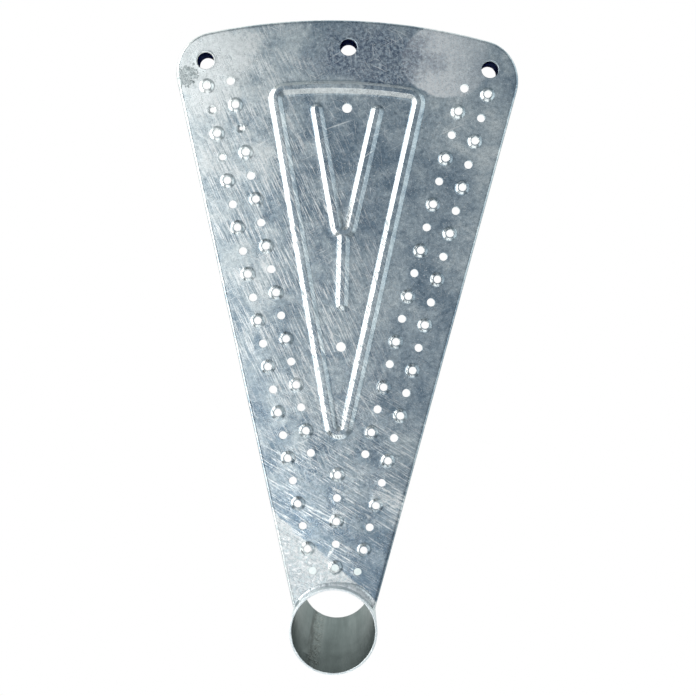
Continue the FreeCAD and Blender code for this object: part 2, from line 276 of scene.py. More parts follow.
# ---------------------------------------------------------------------------
# The tread plate: one triangulation in plan, lifted to a top and an under side
# ---------------------------------------------------------------------------
def build_plate(material):
    pts, top, low, edges = [], [], [], []

    def add(loop, zt, zl, closed=True):
        i0 = len(pts)
        zt = np.broadcast_to(zt, (len(loop),))
        zl = np.broadcast_to(zl, (len(loop),))
        for p, a, b in zip(loop, zt, zl):
            pts.append((float(p[0]), float(p[1])))
            top.append(float(a))
            low.append(float(b))
        n = len(loop)
        edges.extend((i0 + k, i0 + (k + 1) % n) for k in range(n if closed else n - 1))
        return list(range(i0, i0 + n))

    # outer boundary of the flat part: the fold's inner line and the hub cut-out
    D_IN = 6.0
    border = pan_line(D_IN)
    ids_border = add(border, 0.0, 0.0, closed=False)
    a_left = math.atan2(border[-1][1], border[-1][0])
    a_right = math.atan2(border[0][1], border[0][0])
    ng = 56
    gap = [(HUB_GAP_R * math.cos(a_left + (a_right - a_left) * k / ng), HUB_GAP_R * math.sin(a_left + (a_right - a_left) * k / ng)) for k in range(1, ng)]
    ids_gap = add(gap, 0.0, 0.0, closed=False)
    edges.append((ids_border[-1], ids_gap[0]))
    edges.append((ids_gap[-1], ids_border[0]))

    features = []          # (x, y, radius kept free of background points)
    holes = []             # (ids of the rim loop, centre, hole radius, irregularity)

    def ring(c, r, n, ph, wob):
        out = []
        for k in range(n):
            a = 2 * math.pi * k / n
            rr = r * (1 + wob[0] * math.cos(2 * a + ph) + wob[1] * math.cos(3 * a + 2.1 * ph) + wob[2] * math.cos(5 * a - ph))
            out.append((c[0] + rr * math.cos(a), c[1] + rr * math.sin(a)))
        return out

    for k, c in enumerate(dimples):
        n = 32
        ph = float(rng.uniform(0, 6.28))
        w = rng.normal(0, 1, 3) * (0.008, 0.006, 0.004)
        hgt = DIMPLE_H * float(rng.uniform(0.93, 1.0))
        radii = [4.3, 4.65, 5.0, 5.35, 5.7, 6.1, 6.5, 6.9, 7.3, 7.75, 8.3]
        for j, r in enumerate(radii):
            t = (r - DIMPLE_TOP_R + 0.45) / (DIMPLE_R - DIMPLE_TOP_R + 0.85)
            h = hgt * float(rounded(np.array(t), 0.20))
            if r < DIMPLE_TOP_R:
                h -= 0.10 * ((DIMPLE_TOP_R - r) / 0.6) ** 2
            tl = (r - 4.6) / (7.4 - 4.6)
            hl = (hgt - 0.25) * float(rounded(np.array(tl), 0.30))
            ids = add(ring(c, r, n, ph, w * (1.0 if r < 5 else 0.5)), h, hl)
            if j == 0:
                holes.append((ids, c, DIMPLE_HOLE_R, n, ph, w, 0.0))
        features.append((c[0], c[1], 9.6))

    clogged = {}
    for k, c in enumerate(drains):
        n = 26
        ph = float(rng.uniform(0, 6.28))
        w = rng.normal(0, 1, 3) * (0.012, 0.008, 0.004)
        r0 = DRAIN_R * float(rng.uniform(0.96, 1.0))
        close = 0.0
        left = c[0] < -40.0
        for cx, cy, amount in ((-130.7, 538.0, 0.18), (-144.6, 516.4, 0.34), (-104.6, 495.9, 0.52), (-132.6, 468.8, 0.22)):
            if left and math.hypot(c[0] - cx, c[1] - cy) < 13.0:
                close = amount
        for j, r in enumerate([r0 + 0.45, r0 + 0.9, r0 + 1.6]):
            # punched edge: a faint lip standing up where the punch went in
            h = (0.10, 0.05, 0.0)[j]
            ids = add(ring(c, r, n, ph, w), h, 0.0)
            if j == 0:
                holes.append((ids, c, r0, n, ph, w, close))
        features.append((c[0], c[1], r0 + 3.0))

    for y in CENTRE_Y:
        n = 30
        w = np.array((0.01, 0.008, 0.004))
        for j, r in enumerate([CENTRE_HOLE_R + 0.45, CENTRE_HOLE_R + 0.9, CENTRE_HOLE_R + 1.7]):
            ids = add(ring((0.0, y), r, n, 1.0, w), (0.08, 0.04, 0.0)[j], 0.0)
            if j == 0:
                holes.append((ids, (0.0, y), CENTRE_HOLE_R, n, 1.0, w, 0.0))
        features.append((0.0, y, CENTRE_HOLE_R + 3.2))

    for side, c in balusters.items():
        n = 48
        w = np.array((0.004, 0.003, 0.002))
        for j, r in enumerate([BAL_HOLE_R + 0.5, BAL_HOLE_R + 0.95, BAL_HOLE_R + 1.5, BAL_HOLE_R + 2.4]):
            ids = add(ring(c, r, n, 0.6, w), (0.16, 0.14, 0.05, 0.0)[j], 0.0)
            if j == 0:
                holes.append((ids, c, BAL_HOLE_R, n, 0.6, w, 0.0))
        features.append((c[0], c[1], BAL_HOLE_R + 4.0))

    # ribs, as nested loops at stated distances from the centre line
    rib_pts = []
    for d in (0.0, 1.0, 1.65, 1.9, 2.15, 2.5, 3.0, 4.0, 5.0, 6.0, 6.4, 6.75, 7.0, 7.25, 7.7, 8.6, -1.0, -1.65, -1.9, -2.15, -2.5, -3.0, -4.0, -5.0, -6.0, -6.4, -6.75, -7.0, -7.25, -7.6):
        loop = frame_loop(d)
        h = rib_profile(np.array(d), RIB_FOOT)
        hl = (RIB_H - 0.1) * rounded((np.abs(np.array(d)) - 0.4) / (RIB_FOOT - 1.0), 0.24)
        add(loop, float(h), float(hl))
        if d in (0.0, 8.6, -7.6):
            rib_pts += loop
    for d in (0.6, 1.3, 1.65, 1.9, 2.15, 2.5, 3.0, 3.9, 4.8, 5.7, 6.15, 6.5, 6.75, 6.95):
        loop = y_loop(d)
        h = rib_profile(np.array(d), Y_FOOT)
        hl = (RIB_H - 0.1) * rounded((np.abs(np.array(d)) - 0.4) / (Y_FOOT - 1.0), 0.24)
        add(loop, float(h), float(hl))
        if d in (0.6, 6.9):
            rib_pts += loop
    rib_pts = np.array(rib_pts)

    # background points on a hexagonal grid, kept off every feature
    s = 4.2
    gx, gy = np.meshgrid(np.arange(-176, 177, s), np.arange(30, 610, s * 0.866))
    gx = gx + (np.arange(gx.shape[0]) % 2)[:, None] * s / 2
    g = np.stack([gx.ravel(), gy.ravel()], 1)
    g += rng.uniform(-0.35, 0.35, g.shape)
    n = math.hypot(1.0, SIDE_SLOPE)
    keep = (SIDE_X0 + SIDE_SLOPE * g[:, 1] - np.abs(g[:, 0])) / n > D_IN + 2.2
    keep &= R_OUTER - np.hypot(g[:, 0], g[:, 1]) > D_IN + 2.2
    keep &= np.hypot(g[:, 0], g[:, 1]) > HUB_GAP_R + 1.8
    for sgn in (1, -1):
        cen, pl, pa = corner(SIDE_SLOPE, SIDE_X0, R_OUTER, CORNER_R)
        cx, cy = sgn * cen[0], cen[1]
        beyond = (g[:, 0] * sgn > cen[0] - 2) & (g[:, 1] > cen[1] - 14)
        keep &= ~(beyond & (np.hypot(g[:, 0] - cx, g[:, 1] - cy) > CORNER_R - D_IN - 2.2))
    for x, y, r in features:
        keep &= np.hypot(g[:, 0] - x, g[:, 1] - y) > r
    g = g[keep]
    near = np.full(len(g), 1e9)
    for k in range(0, len(rib_pts), 400):
        block = rib_pts[k:k + 400]
        near = np.minimum(near, np.hypot(g[:, None, 0] - block[None, :, 0], g[:, None, 1] - block[None, :, 1]).min(1))
    g = g[near > 2.9]
    # points that fell on the ribs themselves
    fl = frame_offset(g)
    yl = y_offset(g)
    g = g[(np.abs(fl) > 9.5) & (yl > 8.5) | ((fl < -8.8) & (yl > 8.5))]
    i0 = len(pts)
    for p in g:
        pts.append((float(p[0]), float(p[1])))
        top.append(0.0)
        low.append(0.0)

    out = delaunay_2d_cdt([Vector(p) for p in pts], edges, [], 0, 1e-6, True)
    vco, _, tris, vorig = out[0], out[1], out[2], out[3]
    src = [o[0] if len(o) else -1 for o in vorig]
    if min(src) < 0:
        raise RuntimeError("two outlines of the tread plate cross")
    vco = np.array([(v[0], v[1]) for v in vco])
    back = {}
    for k, orig in enumerate(vorig):
        for o in orig:
            back[o] = k

    tri = np.array([t for t in tris if len(t) == 3])
    cen = vco[tri].mean(1)
    ok = inside_pan(cen, D_IN)
    for ids, c, r, *_ in holes:
        loop = np.array([pts[i] for i in ids])
        rmin = np.hypot(loop[:, 0] - c[0], loop[:, 1] - c[1])
        near_hole = np.hypot(cen[:, 0] - c[0], cen[:, 1] - c[1]) < rmin.max() + 0.2
        idx = np.nonzero(near_hole)[0]
        ringset = {back[i] for i in ids}
        for t in idx:
            if all(int(v) in ringset for v in tri[t]):
                ok[t] = False
    tri = tri[ok]
    # same winding everywhere: anticlockwise from above
    a, b, c3 = vco[tri[:, 0]], vco[tri[:, 1]], vco[tri[:, 2]]
    area = (b[:, 0] - a[:, 0]) * (c3[:, 1] - a[:, 1]) - (b[:, 1] - a[:, 1]) * (c3[:, 0] - a[:, 0])
    tri = np.where((area < 0)[:, None], tri[:, ::-1], tri)

    nv = len(vco)
    base = sheet_z(vco[:, 0], vco[:, 1])
    zt = np.array([top[s] for s in src]) + base
    zl = np.array([low[s] for s in src]) + base - SHEET
    verts = [(vco[i, 0], vco[i, 1], zt[i]) for i in range(nv)] + [(vco[i, 0], vco[i, 1], zl[i]) for i in range(nv)]
    faces = [tuple(int(v) for v in t) for t in tri] + [tuple(int(v) + nv for v in t[::-1]) for t in tri]

    def bridge(la, lb, closed=True):
        """Quads between two loops of equal length; la is left of lb seen along the loop."""
        m = len(la)
        for k in range(m if closed else m - 1):
            k2 = (k + 1) % m
            faces.append((la[k], la[k2], lb[k2], lb[k]))

    # hole walls with a small round at each rim
    for ids, c, r, n, ph, w, close in holes:
        t_ids = [back[i] for i in ids]
        b_ids = [back[i] + nv for i in ids]
        zt0 = [verts[i][2] for i in t_ids]
        zb0 = [verts[i][2] for i in b_ids]
        prev = t_ids
        shift = (0.35 * close * 4.0 * math.cos(ph), 0.35 * close * 4.0 * math.sin(ph))
        steps = [(0.30, -0.06, None), (0.10, -0.20, None), (0.0, -0.45, None)]
        loops = []
        for dr, dz, _ in steps:
            loops.append((r + dr, dz, 0))
        if close > 0:
            loops += [(r * (1 - 0.45 * close), -0.9, 0), (r * (1 - close), -1.25, 0), (r * (1 - close * 0.96), -1.6, 0)]
        loops += [(r, 0.45, 1), (r + 0.10, 0.20, 1), (r + 0.30, 0.06, 1)]
        for rr, dz, lowside in loops:
            cc = c
            if close > 0 and rr < r * 0.99:
                f = (r - rr) / (r * close)
                cc = (c[0] + shift[0] * f, c[1] + shift[1] * f)
            ringpts = ring(cc, rr, n, ph, w)
            start = len(verts)
            for k, p in enumerate(ringpts):
                verts.append((p[0], p[1], (zb0[k] if lowside else zt0[k]) + dz))
            cur = list(range(start, start + n))
            bridge(prev, cur)
            prev = cur
        bridge(prev, b_ids)

    # the fold, the flange and its lip, as rows around the outline
    prof = [(5.0, -0.0)]
    for k in range(0, 8):
        a = math.pi / 2 * k / 7
        prof.append((BEND_R - BEND_R * math.sin(a), -BEND_R + BEND_R * math.cos(a)))
    prof += [(0.0, z) for z in (-7.0, -12.0, -18.0, -24.0, -30.0, -35.0, -38.6)]
    prof += [(0.0, -39.5), (0.15, -39.85), (0.55, -40.0)]
    n_half = len(prof)
    rin = BEND_R - SHEET
    inner = [(5.0, -SHEET)]
    for k in range(0, 8):
        a = math.pi / 2 * k / 7
        inner.append((BEND_R - rin * math.sin(a), -BEND_R + rin * math.cos(a)))
    inner += [(SHEET, z) for z in (-7.0, -12.0, -18.0, -24.0, -30.0, -35.0, -38.6)]
    inner += [(SHEET, -39.5), (SHEET - 0.15, -39.85), (SHEET - 0.55, -40.0)]
    prof = prof + inner[::-1]

    sag = Waves(120.0, seed=11)
    fine = Waves(26.0, seed=12)
    base_line = pan_line(0.0)
    arc_s = np.concatenate([[0], np.cumsum(np.hypot(*np.diff(base_line, axis=0).T))])
    rows = []
    for d, z in prof:
        line = pan_line(max(d, 0.0))
        # inward unevenness of the flange, fading out at the fold and at the hub
        drop = smooth((-z - 3.0) / 22.0)
        ends = smooth(np.minimum(arc_s, arc_s[-1] - arc_s) / 30.0)
        push = drop * ends * (0.45 + 0.35 * sag(arc_s, arc_s * 0) + 0.06 * fine(arc_s, np.full_like(arc_s, z)))
        push = np.clip(push, 0.0, 1.2)
        inward = pan_line(max(d, 0.0) + 1.0) - line
        line = line + inward * push[:, None]
        zz = np.full(len(line), z)
        if z < -37.0:
            zz = zz + ends * np.clip(0.25 + 0.2 * fine(arc_s, np.full_like(arc_s, 3.0)), 0, 0.6)
        start = len(verts)
        verts.extend((float(x), float(y), float(q)) for (x, y), q in zip(line, zz))
        rows.append(list(range(start, start + len(line))))
    top_border = [back[i] for i in ids_border]
    low_border = [i + nv for i in top_border]
    # seen from outside the outline runs right to left, so outward faces go this way
    chain = [top_border] + rows + [low_border]
    for la, lb in zip(chain[:-1], chain[1:]):
        bridge(lb, la, closed=False)
    # the two ends against the sleeve
    for end in (0, -1):
        a_side = [top_border[end]] + [r[end] for r in rows[:n_half]]
        b_side = [low_border[end]] + [r[end] for r in rows[n_half:][::-1]]
        for k in range(len(a_side) - 1):
            quad = (a_side[k], a_side[k + 1], b_side[k + 1], b_side[k])
            faces.append(quad if end == -1 else quad[::-1])
        last = (a_side[-1], b_side[-1])
    # the round cut-out's wall
    g_top = [top_border[-1]] + [back[i] for i in ids_gap] + [top_border[0]]
    g_low = [i + nv for i in g_top]
    bridge(g_low, g_top, closed=False)
    faces = closed_faces(faces)
    return make_piece("tread_plate_visual", verts, faces, material, "tread_plate", sharp=48.0)


def frame_offset(p):
    """Signed distance to the triangular rib's centre line, negative inside."""
    n = math.hypot(1.0, FRAME_SLOPE)
    leg = (np.abs(p[:, 0]) - FRAME_SLOPE * (p[:, 1] - FRAME_Y0)) / n
    top = np.hypot(p[:, 0], p[:, 1]) - FRAME_TOP_R
    d = np.maximum(leg, top)
    tip = (0.0, FRAME_Y0 + FRAME_TIP_R * n / FRAME_SLOPE)
    low = (p[:, 1] < tip[1]) & (np.abs(p[:, 0]) < 10)
    return np.where(low, np.hypot(p[:, 0], p[:, 1] - tip[1]) - FRAME_TIP_R, d)


def y_offset(p):
    """Distance to the Y-shaped rib's centre lines."""
    n = math.hypot(1.0, Y_SLOPE)
    fork_y = Y_Y0 + Y_TIP_R * n / Y_SLOPE

    def to_seg(a, b):
        a, b = np.array(a), np.array(b)
        ab = b - a
        t = np.clip(((p - a) @ ab) / (ab @ ab), 0, 1)
        return np.linalg.norm(p - a - t[:, None] * ab, axis=1)

    ux, uy = 1.0 / n, -Y_SLOPE / n
    lowr = (Y_TIP_R * ux, fork_y + Y_TIP_R * uy)
    top = (Y_SLOPE * (Y_TOP - Y_Y0), Y_TOP)
    d = to_seg((0.0, Y_END), (0.0, fork_y - Y_TIP_R))
    d = np.minimum(d, to_seg(lowr, top))
    d = np.minimum(d, to_seg((-lowr[0], lowr[1]), (-top[0], top[1])))
    ring = np.abs(np.hypot(p[:, 0], p[:, 1] - fork_y) - Y_TIP_R)
    return np.minimum(d, np.where(p[:, 1] < fork_y + 2, ring, 1e9))


def inside_pan(p, d):
    n = math.hypot(1.0, SIDE_SLOPE)
    x, y = np.abs(p[:, 0]), p[:, 1]
    ok = (SIDE_X0 + SIDE_SLOPE * y - x) / n > d - 0.02
    ok &= np.hypot(x, y) < R_OUTER - d
    ok &= np.hypot(x, y) > HUB_GAP_R - 0.02
    ok &= y > 0
    cen, pl, pa = corner(SIDE_SLOPE, SIDE_X0, R_OUTER, CORNER_R)
    # wedge of the round corner
    vx, vy = x - cen[0], y - cen[1]
    a = np.arctan2(vy, vx)
    a0 = math.atan2(pl[1] - cen[1], pl[0] - cen[0])
    a1 = math.atan2(pa[1] - cen[1], pa[0] - cen[0])
    ok &= ~((a > a0) & (a < a1) & (np.hypot(vx, vy) > CORNER_R - d + 0.02))
    return ok


# ---------------------------------------------------------------------------
# Turned and swept pieces
# ---------------------------------------------------------------------------
def turned(name, profile, n, material, replaced, centre=(0.0, 0.0), shape=None, sharp=40.0):
    """Closed solid of revolution; profile is a closed (r, z) list, anticlockwise in the (r, z) plane."""
    verts, faces = [], []
    m = len(profile)
    for j in range(n):
        a = 2 * math.pi * j / n
        for k, (r, z) in enumerate(profile):
            rr, zz = shape(a, k, r, z) if shape else (r, z)
            verts.append((centre[0] + rr * math.cos(a), centre[1] + rr * math.sin(a), zz))
    for j in range(n):
        j2 = (j + 1) % n
        for k in range(m):
            k2 = (k + 1) % m
            faces.append((j * m + k, j2 * m + k, j2 * m + k2, j * m + k2))
    return make_piece(name, verts, faces, material, replaced, sharp)


def build_tube(material):
    z0, z1 = TUBE_TOP - TUBE_LEN, TUBE_TOP
    ri = TUBE_R - TUBE_WALL
    levels = list(np.linspace(z0 + 0.9, z1 - 0.9, 72))
    prof = [(ri, z) for z in levels[::-1]]
    prof += [(ri, z0 + 0.5), (ri + 0.15, z0 + 0.15), (ri + 0.5, z0), (TUBE_R - 0.5, z0), (TUBE_R - 0.15, z0 + 0.15), (TUBE_R, z0 + 0.5)]
    prof += [(TUBE_R, z) for z in levels]
    prof += [(TUBE_R, z1 - 0.5), (TUBE_R - 0.15, z1 - 0.15), (TUBE_R - 0.5, z1), (ri + 0.5, z1), (ri + 0.15, z1 - 0.15), (ri, z1 - 0.5)]
    run = Waves(9.0, count=12, seed=21)
    long_run = Waves(30.0, count=10, seed=22)
    lumps = Waves(5.0, count=16, seed=23, dims=3)
    seam_a = math.radians(SEAM_DEG)

    def shape(a, k, r, z):
        if r < ri + 0.3:                       # bore: drawn runs of zinc and the tube's own seam
            s = a * ri
            depth = 0.05 * float(run(s, z * 0.06)) + 0.05 * float(long_run(s * 0.8, z * 0.10))
            da = (a - seam_a + math.pi) % (2 * math.pi) - math.pi
            w = da * ri
            bead = 0.24 * smooth((z1 - 3.0 - z) / 8.0) * math.exp(-(w / 1.5) ** 2) * (0.75 + 0.35 * float(lumps(s, z, 3.0)))
            dn = math.exp(-((w + 9.0) / 4.5) ** 2) * math.exp(-((z + 6.0) / 9.0) ** 2)
            bead += 0.35 * dn * (1.0 + float(lumps(s, z, 9.0)))
            return r - max(0.0, bead) + min(0.0, depth), z
        if r > TUBE_R - 0.3:                   # outside: slight unevenness, never proud of the tube
            s = a * TUBE_R
            return r - 0.04 - 0.04 * float(long_run(s, z * 0.3)), z
        return r, min(z, z - 0.05 - 0.05 * float(run(a * 40.0, 0.0))) if z > 0 else z
    return turned("hub_tube_visual", prof, 224, material, "hub_tube", shape=shape, sharp=55.0)


SEAM_DEG = 242.0


def swept_bead(name, profile_at, angles, material, replaced, centre=(0.0, 0.0)):
    """A weld bead along an arc: profile_at(t) gives the closed (r, z) section; ends are capped."""
    verts, faces = [], []
    m = None
    for j, a in enumerate(angles):
        p = profile_at(j / (len(angles) - 1), a)
        m = len(p)
        verts.extend((centre[0] + r * math.cos(a), centre[1] + r * math.sin(a), z) for r, z in p)
    for j in range(len(angles) - 1):
        for k in range(m):
            k2 = (k + 1) % m
            faces.append((j * m + k, (j + 1) * m + k, (j + 1) * m + k2, j * m + k2))
    faces.append(tuple(range(m - 1, -1, -1))[::-1])
    faces[-1] = tuple(range(0, m))
    e = (len(angles) - 1) * m
    faces.append(tuple(e + k for k in range(m - 1, -1, -1)))
    return make_piece(name, verts, faces, material, replaced, sharp=60.0)


def build_hub_welds(material):
    half = math.radians(52.0)
    n = 260
    angles = [math.pi / 2 - half + 2 * half * k / n for k in range(n + 1)]
    lump = Waves(4.2, count=14, seed=31)
    toe = Waves(7.5, count=12, seed=32)

    def chevron(s):
        """Stacked ripples of a bead, with an uneven pitch."""
        u = s / 2.35 + 0.35 * math.sin(s / 7.0) + 0.2 * math.sin(s / 3.1 + 1.0)
        f = u - math.floor(u)
        return math.sin(math.pi * f) ** 0.6 - 0.6

    def top_profile(t, a):
        s = a * 48.0
        # narrow in the middle and to the left, widening to the right
        side = (math.pi / 2 - a) / half                  # +1 right, -1 left
        width = 2.5 + 4.0 * smooth((side + 0.02) / 0.70) + 0.5 * smooth((-side - 0.35) / 0.5)
        width = float(width) * (1 + 0.06 * float(toe(s, 0.0)))
        end = float(smooth(min(t, 1 - t) / 0.035))
        width = 1.55 + (width - 1.55) * (0.35 + 0.65 * end)
        width = min(width, 6.5)
        height = (1.9 + 0.45 * width) * (0.4 + 0.6 * end)
        out = [(TUBE_R + 0.05, -SHEET + 0.02), (HUB_GAP_R - 0.02, -SHEET + 0.02), (HUB_GAP_R - 0.02, -0.25)]
        m = 11
        for k in range(m):
            q = k / (m - 1)                              # toe on the plate -> toe on the sleeve
            ang = q * math.pi / 2
            r = TUBE_R + width * math.cos(ang) ** 1.15
            z = height * math.sin(ang) ** 1.05
            bulge = math.sin(2 * ang)
            amp = 0.11 * chevron(s + 1.1 * bulge) * bulge + 0.08 * float(lump(s, 3.0 * q)) * bulge
            r += amp
            z += amp
            r = min(r, 50.95)
            if k == 0:
                z = -0.25
            elif k == 1:
                z = max(z, 0.10)
            if k == m - 1:
                r = TUBE_R + 0.05
            out.append((r, min(z, 5.15)))
        return out

    def low_profile(t, a):
        s = a * 48.0
        end = float(smooth(min(t, 1 - t) / 0.035))
        width = (4.9 + 0.6 * float(toe(s, 20.0))) * (0.5 + 0.5 * end)
        width = min(width, 6.4)
        height = (5.0 + 0.5 * float(toe(s, 40.0))) * (0.5 + 0.5 * end)
        out = []
        m = 11
        for k in range(m):
            q = k / (m - 1)
            ang = q * math.pi / 2
            r = TUBE_R + 0.05 + height * 0 + width * math.sin(ang)
            z = -SHEET - height * math.cos(ang)
            bulge = math.sin(2 * ang)
            amp = 0.26 * chevron(s + 1.1 * bulge) * bulge + 0.16 * float(lump(s, 3.0 * q + 30)) * bulge
            r += amp
            z -= amp
            if k == m - 1:
                z = -SHEET
            out.append((min(r, 50.95), max(min(z, -SHEET), -8.85)))
        out.append((TUBE_R + 0.05, -SHEET))
        return out

    swept_bead("hub_weld_top_visual", top_profile, angles, material, "hub_weld_top")
    swept_bead("hub_weld_under_visual", low_profile, angles, material, "hub_weld_under")


def build_flange_welds(material):
    k_in = SIDE_X0 - SHEET * math.hypot(1.0, SIDE_SLOPE)
    aa = 1.0 + SIDE_SLOPE ** 2
    bb = 2.0 * k_in * SIDE_SLOPE
    cc = k_in ** 2 - TUBE_R ** 2
    y_meet = (-bb + math.sqrt(bb * bb - 4 * aa * cc)) / (2 * aa)
    x_meet = k_in + SIDE_SLOPE * y_meet
    lump = Waves(4.0, count=14, seed=41)
    for side, sg in (("left", -1), ("right", 1)):
        lo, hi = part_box("flange_weld_" + side)
        zl, zh = lo.z / MM + 0.1, hi.z / MM - 0.1
        cx, cy = sg * (x_meet - 0.14), y_meet + 1.2
        n, m = 120, 20
        verts, faces = [], []
        for j in range(n + 1):
            t = j / n
            z = zl + (zh - zl) * t
            e = min(t, 1 - t) * (zh - zl)
            r0 = 3.0 * (1 - (1 - min(e / 2.6, 1.0)) ** 2) ** 0.5 if e < 2.6 else 3.0
            r0 = max(r0, 0.25)
            for k in range(m):
                a = 2 * math.pi * k / m
                u = z / 2.3 + 0.3 * math.sin(z / 5.0) + 0.10 * math.cos(a)
                f = u - math.floor(u)
                r = r0 * (1 + 0.07 * (math.sin(math.pi * f) ** 0.6 - 0.6) + 0.05 * float(lump(z, 4 * a)))
                verts.append((cx + r * math.cos(a) * 0.98, cy + r * math.sin(a), z))
        for j in range(n):
            for k in range(m):
                k2 = (k + 1) % m
                faces.append((j * m + k, j * m + k2, (j + 1) * m + k2, (j + 1) * m + k))
        faces.append(tuple(range(m - 1, -1, -1)))
        faces.append(tuple(n * m + k for k in range(m)))
        make_piece("flange_weld_%s_visual" % side, verts, faces, material, "flange_weld_" + side, sharp=60.0)


def build_bushes(mat_bush, mat_weld):
    for i, (side, c) in enumerate(balusters.items()):
        z0, z1 = -BUSH_DEPTH, -SHEET
        prof = [(BUSH_BORE_R, z) for z in np.linspace(z1 - 0.4, z0 + 0.9, 18)]
        prof += [(BUSH_BORE_R + 0.15, z0 + 0.35), (BUSH_BORE_R + 0.55, z0), (BUSH_OUT_R - 0.8, z0), (BUSH_OUT_R - 0.35, z0 + 0.25), (BUSH_OUT_R, z0 + 0.8)]
        prof += [(BUSH_OUT_R, z) for z in np.linspace(z0 + 1.6, z1 - 0.6, 12)]
        prof += [(BUSH_OUT_R, z1), (BUSH_BORE_R + 0.35, z1), (BUSH_BORE_R + 0.1, z1 - 0.12)]
        w = Waves(6.0, count=10, seed=51 + i)

        def shape(a, k, r, z, w=w):
            if z > z1 - 0.3:
                return r, z
            if r < BUSH_BORE_R + 0.1:
                return r - 0.02 + 0.04 * float(w(a * 8.0, z * 0.5)), z
            return r - 0.03 - 0.05 * float(w(a * 11.0, z * 0.4 + 30)), z
        turned("baluster_bush_%s_visual" % side, prof, 72, mat_bush, "baluster_bush_" + side, c, shape)

        lump = Waves(3.6, count=12, seed=61 + i)
        m = 9
        wp = [(BUSH_OUT_R + 0.02, -SHEET)]
        for k in range(m):
            ang = math.pi / 2 * k / (m - 1)
            wp.append((BUSH_OUT_R + 0.02 + 3.1 * math.sin(ang), -SHEET - 3.4 * math.cos(ang) if k < m - 1 else -SHEET))
        # anticlockwise in (r, z): from the bush down, round and up to the plate

        def bead(a, k, r, z, lump=lump, i=i):
            if k == 0:
                return r, z
            q = (k - 1) / (m - 1)
            b = math.sin(math.pi * min(max(q, 0), 1))
            u = (a * 12.5) / 2.2 + 0.3 * math.sin(3 * a + i) + 0.4 * q
            # a whole number of ripples round the ring
            u = a / (2 * math.pi) * 34 + 0.25 * math.sin(3 * a + i) + 0.4 * q
            f = u - math.floor(u)
            amp = 0.20 * (math.sin(math.pi * f) ** 0.6 - 0.6) * b + 0.10 * float(lump(12 * math.cos(a), 12 * math.sin(a))) * b
            return min(r + amp, BUSH_OUT_R + 3.5), (z - amp) if z < -SHEET - 0.2 else z
        turned("bush_weld_%s_visual" % side, wp, 204, mat_weld, "bush_weld_" + side, c, bead, sharp=60.0)


# ---------------------------------------------------------------------------
# Materials: hot-dip galvanised steel, from noise in the part's own coordinates
# ---------------------------------------------------------------------------
def fill_ramp(ramp, stops):
    """Replace a colour ramp's stops, given in ascending order."""
    e = ramp.elements
    while len(e) > 1:
        e.remove(e[len(e) - 1])
    e[0].position = stops[0][0]
    for pos, _ in stops[1:]:
        e.new(pos)
    for k, (pos, col) in enumerate(stops):
        e[k].position = pos
        e[k].color = (*col, 1.0)


